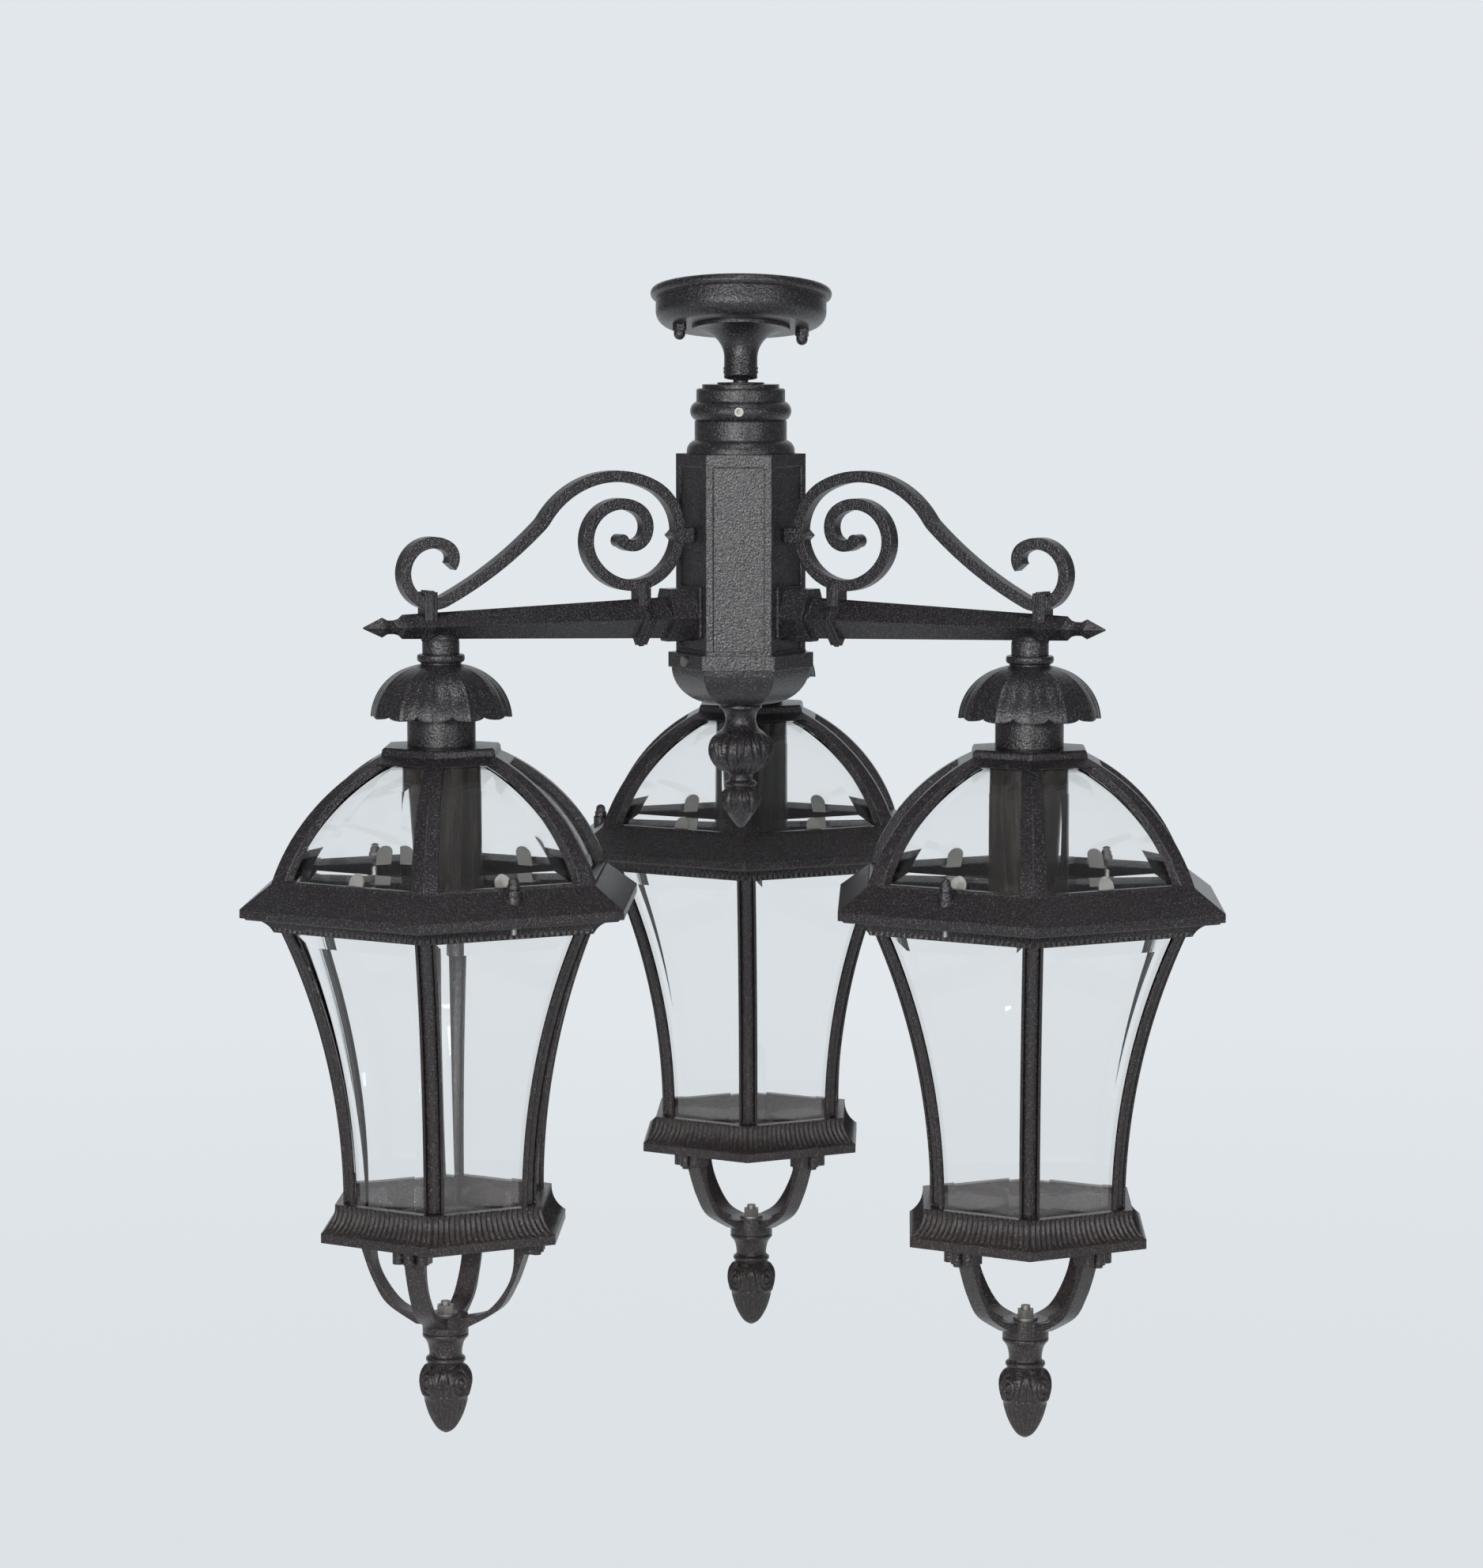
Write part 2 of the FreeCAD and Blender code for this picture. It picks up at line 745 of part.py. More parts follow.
def scroll():
    x = scroll_start_radius
    z = arm_z + scroll_start_rise
    heading = math.radians(scroll_start_heading)
    half = scroll_bar / 2
    bars = []
    for radius, turn in scroll_turns():
        side = 1 if turn > 0 else -1
        cx = x - side * radius * math.sin(heading)
        cz = z + side * radius * math.cos(heading)
        start = math.degrees(math.atan2(z - cz, x - cx))
        first = start if turn > 0 else start + turn
        outer = Part.makeCylinder(radius + half, scroll_thickness, origin, up, abs(turn))
        inner = Part.makeCylinder(radius - half, scroll_thickness, origin, up, abs(turn))
        bar = outer.cut(inner)
        bar.rotate(origin, up, first)
        bar.rotate(origin, along_x, 90)
        bars.append(moved(bar, cx, scroll_thickness / 2, cz))
        heading += math.radians(turn)
        x = cx + side * radius * math.sin(heading)
        z = cz - side * radius * math.cos(heading)
    return bars, (x, z)


def scroll_collar():
    """Collar with a pointed nub where the scroll meets the column."""
    width = scroll_thickness / 2 + collar_swell
    near = column_apothem
    far = near + collar_length
    nub = (far + collar_nub, collar_depth / 2)
    outline = [(near, 0), (far, 0), nub, (far, collar_depth), (near, collar_depth)]
    block = moved(face_of(closed(outline), upright), 0, -width, arm_z + collar_rise)
    return block.extrude(vec(0, 2 * width, 0))


def arm_boss():
    shoulder = boss_bottom + boss_shoulder
    top = arm_z - 4.6
    steps = [(0, boss_bottom), (boss_radius, boss_bottom), (boss_radius, shoulder)]
    steps += [(boss_radius - 1.8, shoulder + 4.2, boss_radius - 6, top), (0, top)]
    return turned(steps)


def arm_bolt_heights():
    return (arm_z + 2 + arm_bolt_spacing / 2, arm_z + 2 - arm_bolt_spacing / 2)


def arm():
    bars, end = scroll()
    pieces = [arm_beam(), root_block(), scroll_collar()]
    pieces += strap(inner_strap_radius, inner_strap_rise, strap_tip)
    pieces += strap(outer_strap_radius, outer_strap_rise, 0)
    pieces += [moved(arm_boss(), lantern_circle, 0, 0)]
    pieces += bars
    knob_half = scroll_thickness / 2 + scroll_knob_swell
    knob_start = vec(end[0], -knob_half, end[1])
    knob_radius = scroll_bar / 2 + scroll_knob_swell
    pieces.append(Part.makeCylinder(knob_radius, 2 * knob_half, knob_start, vec(0, 1, 0)))
    shape = fused(pieces)
    for height in arm_bolt_heights():
        shape = shape.cut(rod(arm_bolt_radius + thread_gap, arm_face - 1, arm_face + arm_bolt_grip, height))
    hole_top = boss_bottom + pipe_top_in_boss + 1
    pipe_hole = disc(pipe_radius + thread_gap, boss_bottom - 1, hole_top, lantern_circle)
    return shape.cut(pipe_hole)


def arm_bolts():
    inner = column_apothem - column_wall
    bolts = []
    for side in arm_angles:
        for height in arm_bolt_heights():
            shank = rod(arm_bolt_radius, inner, arm_face + arm_bolt_grip - 1, height)
            head = rod(arm_bolt_head_flats / 2, inner - arm_bolt_head_height, inner, height)
            bolts.append(on_arm(shank.fuse(head).removeSplitter(), side))
    return group(bolts)


# Lantern pieces, drawn about their own axis with the arm along x
def petal_cap():
    ring_bottom = petal_top
    low = petal_bottom
    hole = pipe_radius + thread_gap
    crown = petal_top - petal_crown
    ceiling_radius = neck_radius + 3
    mid = (petal_radius * 0.8, petal_top - petal_height * 0.36)
    inner_mid = (mid[0] - petal_wall * 0.75, mid[1] - petal_wall * 0.8)
    steps = [(hole, boss_bottom), (petal_ring_radius, boss_bottom), (petal_ring_radius, ring_bottom)]
    steps += [mid + (petal_radius, low), (petal_radius - petal_wall, low)]
    steps += [(inner_mid[0] + 2.6, inner_mid[1] - 4.0, ceiling_radius, crown), (hole, crown)]
    cap = turned(steps)
    rib_mid = (mid[0] + petal_rib_height, mid[1] + petal_rib_height)
    rib = [(petal_ring_radius - 1, ring_bottom), (petal_ring_radius, ring_bottom)]
    rib += [rib_mid + (petal_radius + petal_rib_height, low), (petal_radius - 1.2, low)]
    rib += [(mid[0] - 1.2, mid[1] - 1.2, petal_ring_radius - 1, ring_bottom)]
    fin = moved(face_of(closed(rib), upright), 0, -petal_rib_width / 2, 0).extrude(vec(0, petal_rib_width, 0))
    step = 360 / petal_count
    half = petal_radius * math.tan(math.radians(step / 2)) * 0.8
    notch = [(-half, low - 1), (half, low - 1), (0, low + petal_scallop)]
    cutter = moved(face_of(closed(notch), crosswise), petal_radius * 0.6, 0, 0)
    cutter = cutter.extrude(vec(petal_radius, 0, 0))
    fins = [spin(fin, step * (k + 0.5)) for k in range(petal_count)]
    cap = cap.multiFuse(fins)
    cutters = [spin(cutter, step * (k + 0.5)) for k in range(petal_count)]
    return cap.cut(cutters).removeSplitter()


def neck_tube():
    return tube(neck_radius, neck_radius - neck_wall, roof_top, petal_top - petal_crown)


def pipe():
    return tube(pipe_radius, pipe_radius - 1.2, roof_under - pipe_below_roof, boss_bottom + pipe_top_in_boss)


def dome_at(height, inset):
    """Half width of the dome at a height, measured inside its skin by the inset."""
    rise = height - (dome_top - dome_centre_drop)
    return math.sqrt((dome_radius - inset) ** 2 - rise * rise) + dome_centre


def dome_arc(high, low, inset):
    middle = (high + low) / 2
    return (dome_at(middle, inset), middle, dome_at(low, inset), low)


def roof_frame():
    top_plate = [(0, roof_top), (roof_plate_apothem - 1.2, roof_top), (roof_plate_apothem, roof_top - 1.2)]
    outer = top_plate + [(dome_at(dome_top, 0), dome_top), dome_arc(dome_top, dome_bottom, 0)]
    outer += [(skirt_apothem, skirt_bottom), (skirt_apothem, fascia_bottom), (0, fascia_bottom)]
    inner = [(0, roof_under), (dome_at(roof_under, dome_wall), roof_under)]
    inner += [dome_arc(roof_under, dome_bottom, dome_wall)]
    inside = skirt_apothem - fascia_wall
    inner += [(inside, skirt_bottom), (inside, fascia_bottom - 1), (0, fascia_bottom - 1)]
    frame = hex_solid(outer, 30)
    for angle in (90, 270):
        boss_top = fascia_bottom + stud_boss_rise
        boss = spin(disc(stud_boss_radius, fascia_bottom, boss_top, stud_boss_circle), angle)
        frame = frame.fuse(boss)
    hollow = hex_solid(inner, 30)
    frame = frame.cut(hollow)
    for angle in range(30, 390, 60):
        frame = frame.cut(dome_window(angle))
    for angle in (90, 270):
        hole = disc(roof_stud_radius + running_gap, fascia_bottom - 1, fascia_bottom + 40, stud_boss_circle)
        frame = frame.cut(spin(hole, angle))
    return frame.cut(disc(pipe_radius + running_gap, roof_under - 1, roof_top + 1)).removeSplitter()


def dome_window(angle):
    """Opening between two dome ribs."""
    near = roof_plate_apothem - 4
    far = dome_at(dome_bottom, 0) + 4
    slope = math.tan(math.radians(30))
    near_half = near * slope - dome_rib_top
    far_half = far * slope - dome_rib_foot
    return wedge(near, near_half, far, far_half, dome_bottom + 2, roof_under - 1, angle)


def dome_panes():
    skin = dome_wall + glass_gap
    back = skin + glass_thickness
    top = roof_under - dome_pane_top_gap
    low = dome_bottom - dome_pane_lap
    outer = [(0, top), (dome_at(top, skin), top), dome_arc(top, low, skin), (0, low)]
    inner = [(0, top), (dome_at(top, back), top), dome_arc(top, low, back), (0, low)]
    shell = hex_solid(outer, 30).cut(hex_solid(inner, 30))
    return group([shell.common(dome_pane_block(angle)) for angle in range(30, 390, 60)])


def dome_pane_block(angle):
    near = 10.0
    far = dome_at(dome_bottom, 0) + 20
    slope = math.tan(math.radians(30))
    edge = dome_rib_top - glass_under_frame
    grow = (dome_rib_foot - dome_rib_top) / (far - near)
    return wedge(near, near * slope - edge, far, far * slope - edge - grow * (far - near),
                 fascia_bottom, roof_under, angle)


def top_rim():
    high = fascia_bottom
    inside = body_at(body_pane_top, rib_wall + glass_gap) + glass_gap
    mid = (body_top_apothem + 0.36 * (rim_apothem - body_top_apothem), high - 0.36 * rim_height)
    outer = [(0, high), (rim_apothem, high), (rim_apothem - 1, high - 1.5)]
    outer += [mid + (body_top_apothem + 0.5, rim_bottom), (0, rim_bottom)]
    rim = hex_solid(outer, 30)
    hollow = [(0, high + 1), (inside, high + 1), (inside, rim_bottom - 1), (0, rim_bottom - 1)]
    rim = rim.cut(hex_solid(hollow, 30))
    for angle in (90, 270):
        hole = disc(roof_stud_radius + thread_gap, rim_bottom - 1, high + 1, stud_boss_circle)
        rim = rim.cut(spin(hole, angle))
    return rim


def body_at(height, inset):
    """Half width of the flared body at a height, inside its skin by the inset."""
    rise = height - body_bottom
    if rise <= 0:
        return body_foot_apothem - inset
    reach = body_radius + inset
    return body_foot_apothem + body_radius - math.sqrt(reach * reach - rise * rise)


def body_arc(high, low, inset):
    middle = (high + low) / 2
    return (body_at(middle, inset), middle, body_at(low, inset), low)


def body_hex(high, low, inset):
    steps = [(0, high), (body_at(high, inset), high), body_arc(high, body_bottom, inset)]
    if low < body_bottom:
        steps.append((body_at(low, inset), low))
    return hex_solid(steps + [(0, low)], 30)


def cage_ribs():
    shell = body_hex(rim_bottom, body_bottom, 0).cut(body_hex(rim_bottom, body_bottom, rib_wall))
    slope = math.tan(math.radians(30))
    far = body_top_apothem + 5
    near = body_foot_apothem - rib_wall - 5
    for angle in range(30, 390, 60):
        near_half = near * slope - rib_leg
        far_half = far * slope - rib_leg
        gap = wedge(near, near_half, far, far_half, body_bottom - 1, rim_bottom + 1, angle)
        shell = shell.cut(gap)
    return group(shell.Solids)


def body_panes():
    skin = rib_wall + glass_gap
    high = body_pane_top
    low = base_floor_top
    shell = body_hex(high, low, skin).cut(body_hex(high, low, skin + glass_thickness))
    slope = math.tan(math.radians(30))
    edge = rib_leg - glass_under_frame
    near = body_foot_apothem - 20
    far = body_top_apothem + 5
    panes = []
    for angle in range(30, 390, 60):
        block = wedge(near, near * slope - edge, far, far * slope - edge, low - 1, high + 1, angle)
        panes.append(shell.common(block))
    return group(panes)


def base_plate(yoke_turn):
    outer = [(0, body_bottom), (base_top_apothem, body_bottom)]
    mid = (base_top_apothem + 1.8, body_bottom - base_slope_height * 0.55)
    outer += [mid + (base_apothem, base_slope_bottom), (base_apothem, base_bottom), (0, base_bottom)]
    well = body_foot_apothem - rib_wall + glass_gap / 2
    base = hex_solid(outer, 30)
    hollow = [(0, body_bottom + 1), (well, body_bottom + 1), (well, base_floor_top), (0, base_floor_top)]
    base = base.cut(hex_solid(hollow, 30))
    depth = base_bottom + yoke_screw_depth + 0.5
    for k in range(4):
        hole = disc(yoke_screw_radius + thread_gap, base_bottom - 1, depth, yoke_screw_circle)
        base = base.cut(spin(hole, k * 90 + yoke_turn))
    return base.cut(disc(base_hole_radius, base_bottom - 1, body_bottom + 1))


def yoke_blank():
    low = hub_bottom
    pad_low = base_bottom - yoke_pad_height
    heel = yoke_pad_inner + 5
    strap_outline = [(yoke_pad_inner - 6, base_bottom), (heel, base_bottom), (heel, pad_low)]
    strap_outline += [(yoke_pad_inner + 1, pad_low - 4)]
    strap_outline += [(yoke_pad_inner - 12, low + 10, 20, low), (0, low), (0, low + 8.5), (16, low + 8.5)]
    strap_outline += [(yoke_pad_inner - 15, low + 22, yoke_pad_inner - 6, base_bottom)]
    strap_face = moved(face_of(closed(strap_outline), upright), 0, -yoke_strap_width / 2, 0)
    strap_bar = strap_face.extrude(vec(0, yoke_strap_width, 0))
    lobe = yoke_pad_width / 3
    centre = yoke_pad_radius - lobe / 2 - 2
    pad = Part.makeBox(centre - yoke_pad_inner, yoke_pad_width, yoke_pad_height,
                       vec(yoke_pad_inner, -yoke_pad_width / 2, pad_low))
    lobes = [disc(lobe / 2, pad_low, base_bottom, centre, k * lobe) for k in (-1, 1)]
    lobes.append(disc(lobe / 2, pad_low, base_bottom, centre + 2, 0))
    leg = fused([strap_bar, pad] + lobes)
    hub = disc(yoke_hub_radius, low, low + yoke_hub_height)
    shape = fused([spin(leg, k * 90) for k in range(4)] + [hub])
    shape = shape.cut(disc(finial_bolt_radius + running_gap, low - 1, low + yoke_hub_height + 1))
    for k in range(4):
        hole = disc(yoke_screw_radius + running_gap, pad_low - 1, base_bottom + 1, yoke_screw_circle)
        shape = shape.cut(spin(hole, k * 90))
    return shape


def yoke_screw_set(turn):
    screws = []
    for k in range(4):
        low = base_bottom - yoke_pad_height
        shank = disc(yoke_screw_radius, low - 1, base_bottom + yoke_screw_depth, yoke_screw_circle)
        head = disc(yoke_screw_head_radius, low - yoke_screw_head_height, low, yoke_screw_circle)
        screws.append(spin(shank.fuse(head).removeSplitter(), k * 90 + turn))
    return screws


def lantern_finial():
    top = hub_bottom
    steps = [(0, top), (15, top), (15, top - 2.5), [(12, top - 6.5), (10.8, top - 14)], (10.8, top - 15.5)]
    steps += [[(12.3, top - 16.2), (12.8, top - 17.8), (12.3, top - 19.4), (10.8, top - 20)]]
    steps += [(12.5, top - 21)]
    steps += [[(15.8, top - 26), (17.3, top - 32.5), (15.6, top - 41.5)], (14.2, top - 42.5)]
    steps += [[(12.9, top - 49), (9.6, top - 57.5), (5.8, top - 64), (3, top - 66.5), (0.6, top - 67)]]
    steps += [(0, top - 67)]
    finial = turned(steps)
    return finial.cut(disc(finial_bolt_radius + thread_gap, top - finial_bolt_depth - 1, top + 1))


def finial_bolt():
    top = hub_bottom + yoke_hub_height
    return disc(finial_bolt_radius, hub_bottom - finial_bolt_depth, top + finial_bolt_rise)


def finial_nut():
    low = hub_bottom + yoke_hub_height
    high = low + finial_washer_height
    bore = finial_bolt_radius + thread_gap
    top = high + finial_nut_height
    nut = hex_bar(finial_nut_flats, high, top).cut(disc(bore, high - 1, top + 1))
    return [nut, tube(finial_washer_radius, bore, low, high)]


def roof_stud_pair():
    high = fascia_bottom + stud_boss_rise + roof_nut_height + 1
    stud = disc(roof_stud_radius, rim_bottom + 4, high, stud_boss_circle)
    return [spin(stud, angle) for angle in (90, 270)]


def roof_nut_pair():
    nut = cap_nut(roof_nut_flats, roof_nut_height, roof_nut_dome, roof_stud_radius + thread_gap,
                  fascia_bottom + stud_boss_rise, stud_boss_circle, 0, False)
    return [spin(nut, angle) for angle in (90, 270)]


def pane_clip_set():
    """Six bent tabs inside the roof that hold the dome panes at their feet."""
    foot = dome_bottom - dome_pane_lap - running_gap
    high = foot + clip_height
    half = clip_width / 2
    near = dome_wall + glass_gap + glass_thickness + running_gap
    far = near + clip_thickness
    low = foot - clip_thickness
    seat = dome_at(dome_bottom, dome_wall)
    reach = seat + (dome_bottom - foot) * (skirt_apothem - fascia_wall - seat) / skirt_height - running_gap
    outline = [(dome_at(high, near), high), (dome_at(foot, near), foot), (reach, foot), (reach, low)]
    outline += [(dome_at(low, far), low), (dome_at(high, far), high)]
    blank = moved(face_of(closed(outline), upright), 0, -half, 0).extrude(vec(0, clip_width, 0))
    front = [(-half, low - 1), (half, low - 1), (half, high - half), (0, high, -half, high - half)]
    tab = moved(face_of(closed(front), crosswise), body_foot_apothem, 0, 0)
    tab = tab.extrude(vec(body_foot_apothem, 0, 0))
    clip = blank.common(tab)
    return [spin(clip, angle) for angle in range(30, 390, 60)]


def lamp_sleeve():
    top = roof_under
    wall = tube(sleeve_radius, sleeve_radius - sleeve_wall, top - sleeve_length, top)
    lid = tube(sleeve_radius, pipe_radius + running_gap, top - sleeve_wall, top)
    return wall.fuse(lid).removeSplitter()


def lamp_holder():
    top = roof_under - sleeve_wall - locknut_height
    shoulder = top - holder_neck_length
    low = shoulder - holder_length
    bore = holder_bore_radius
    steps = [(pipe_radius + thread_gap, top), (holder_neck_radius, top), (holder_neck_radius, shoulder)]
    bore_top = low + holder_bore_depth
    steps += [(holder_radius, shoulder - 4), (holder_radius, low), (bore, low), (bore, bore_top)]
    steps += [(pipe_radius + thread_gap, bore_top)]
    return turned(steps)


# Build and save every piece
save(on_canopy(ceiling_bracket()), "ceiling_bracket")
save(on_canopy(bracket_studs()), "bracket_studs")
save(on_canopy(canopy_dish()), "canopy_dish")
save(on_canopy(canopy_cap_nuts()), "canopy_cap_nuts")
save(on_canopy(trumpet_stem()), "trumpet_stem")
save(on_canopy(stem_washer()), "stem_washer")
save(on_canopy(stem_locknut()), "stem_locknut")
save(on_canopy(swivel_pin()), "swivel_pin")

save(hung(swivel_stud()), "swivel_stud")
save(hung(swivel_washer()), "swivel_washer")
save(hung(column_cap()), "column_cap")
save(hung(cap_set_screws()), "cap_set_screws")
save(hung(hex_column()), "hex_column")
save(hung(terminal_block()), "terminal_block")
save(hung(column_bowl()), "column_bowl")
save(hung(bowl_screws()), "bowl_screws")
save(hung(centre_finial()), "centre_finial")

one_arm = arm()
for side in arm_angles:
    save(on_arm(one_arm, side), "arm_" + side)
save(arm_bolts(), "arm_bolts")

lantern_pieces = {
    "petal_cap": petal_cap(),
    "roof_frame": roof_frame(),
    "dome_panes": dome_panes(),
    "top_rim": top_rim(),
    "cage_ribs": cage_ribs(),
    "body_panes": body_panes(),
    "finial": lantern_finial(),
}
one_yoke = yoke_blank()
for side in arm_angles:
    for name, shape in lantern_pieces.items():
        save(at_lantern(shape, side), name + "_" + side)
    save(at_lantern(base_plate(yoke_turns[side]), side), "base_plate_" + side)
    save(at_lantern(spin(one_yoke, yoke_turns[side]), side), "yoke_" + side)


def in_all_lanterns(shapes):
    return [at_lantern(shape, side) for side in arm_angles for shape in shapes]


save(group(in_all_lanterns([neck_tube()])), "neck_tubes")
save(group(in_all_lanterns([pipe()])), "hanging_pipes")
save(group(in_all_lanterns([lamp_sleeve()])), "lamp_sleeves")
save(group(in_all_lanterns([lamp_holder()])), "lamp_holders")
save(group(in_all_lanterns(roof_stud_pair())), "roof_studs")
save(group(in_all_lanterns(roof_nut_pair())), "roof_cap_nuts")
save(group(in_all_lanterns(pane_clip_set())), "pane_clips")
save(group(in_all_lanterns([finial_bolt()])), "finial_bolts")
save(group(in_all_lanterns(finial_nut())), "finial_nuts")
screws = [at_lantern(s, side) for side in arm_angles for s in yoke_screw_set(yoke_turns[side])]
save(group(screws), "yoke_screws")

locknuts = [hung(locknut_at(cap_top - cap_top_thickness))]
locknuts += [hung(locknut_at(bowl_bottom + bowl_wall + locknut_height))]
locknuts += in_all_lanterns([locknut_at(roof_under - sleeve_wall)])
save(group(locknuts), "locknuts")
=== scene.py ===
import json
import math

import bpy
import numpy as np
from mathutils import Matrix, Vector


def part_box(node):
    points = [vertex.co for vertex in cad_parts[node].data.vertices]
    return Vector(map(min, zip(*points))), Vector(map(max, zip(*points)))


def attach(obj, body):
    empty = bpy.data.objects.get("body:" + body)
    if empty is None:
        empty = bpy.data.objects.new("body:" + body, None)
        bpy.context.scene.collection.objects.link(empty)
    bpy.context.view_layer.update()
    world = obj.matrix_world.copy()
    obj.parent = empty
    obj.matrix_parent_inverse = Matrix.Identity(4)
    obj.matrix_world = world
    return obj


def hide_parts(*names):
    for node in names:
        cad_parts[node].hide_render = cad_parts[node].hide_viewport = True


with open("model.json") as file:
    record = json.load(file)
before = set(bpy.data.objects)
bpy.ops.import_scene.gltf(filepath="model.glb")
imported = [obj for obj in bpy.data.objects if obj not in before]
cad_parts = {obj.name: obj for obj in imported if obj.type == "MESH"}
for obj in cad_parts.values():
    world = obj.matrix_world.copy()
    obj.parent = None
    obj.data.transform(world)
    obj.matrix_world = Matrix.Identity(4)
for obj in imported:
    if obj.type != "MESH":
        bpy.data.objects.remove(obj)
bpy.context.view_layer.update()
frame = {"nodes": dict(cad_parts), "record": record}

bl_info = {
    "name": "Three lantern ceiling light",
    "version": (1, 0, 0),
    "blender": (4, 5, 0),
    "location": "View3D > Sidebar > Lantern",
    "description": "Dresses a cast ceiling light with carved, fluted and glazed pieces",
    "category": "Object",
}

# The lanterns, the body they ride on, and the angles of a hexagon whose faces are square to X
SIDES = ("left", "right", "rear")
BODY = "fixture"
TURN = 2 * math.pi
CORNER_X = math.cos(math.radians(30))
CORNER_Y = math.sin(math.radians(30))
HEX_SLOPE = math.tan(math.radians(30))
HEX_CORNER = 1 / CORNER_X

# Points nearer than this are one point, in metres
TOUCHING = 1e-6


# Places read from the frame, in metres
def low_and_high(node):
    """Heights of a CAD node's lowest and highest point."""
    low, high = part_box(node)
    return low.z, high.z


def axis_of(node):
    """Where the upright axis of a CAD node stands."""
    low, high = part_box(node)
    return Vector(((low.x + high.x) / 2, (low.y + high.y) / 2, 0))


def half_width(node):
    """Half the width of a CAD node along X."""
    low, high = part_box(node)
    return (high.x - low.x) / 2


AXES = {side: axis_of("finial_" + side) for side in SIDES}
COLUMN = axis_of("hex_column")
RIM_LOW, RIM_HIGH = low_and_high("top_rim_left")
RIB_LOW, RIB_HIGH = low_and_high("cage_ribs_left")
BASE_LOW, BASE_HIGH = low_and_high("base_plate_left")
DOME_PANE_LOW, DOME_PANE_HIGH = low_and_high("dome_panes_left")
BODY_PANE_LOW, BODY_PANE_HIGH = low_and_high("body_panes_left")
PETAL_LOW, PETAL_HIGH = low_and_high("petal_cap_left")
FINIAL_LOW, FINIAL_HIGH = low_and_high("finial_left")
CENTRE_FINIAL_LOW = low_and_high("centre_finial")[0]
CENTRE_FINIAL_HIGH = low_and_high("column_bowl")[0]
ROOF_HIGH = low_and_high("roof_frame_left")[1]

# Plated nodes that are painted with the castings, and the turn of each yoke
PAINTED = ("swivel_stud",)
YOKE_TURNS = {"left": math.radians(75), "right": math.radians(45), "rear": math.radians(45)}


# Sizes and colours that a user would change
def length(name, description, default):
    return bpy.props.FloatProperty(
        name=name, description=description, default=default, subtype="DISTANCE", unit="LENGTH", precision=5
    )


def colour(name, description, default):
    return bpy.props.FloatVectorProperty(
        name=name, description=description, default=default, subtype="COLOR", size=3, min=0, max=1
    )


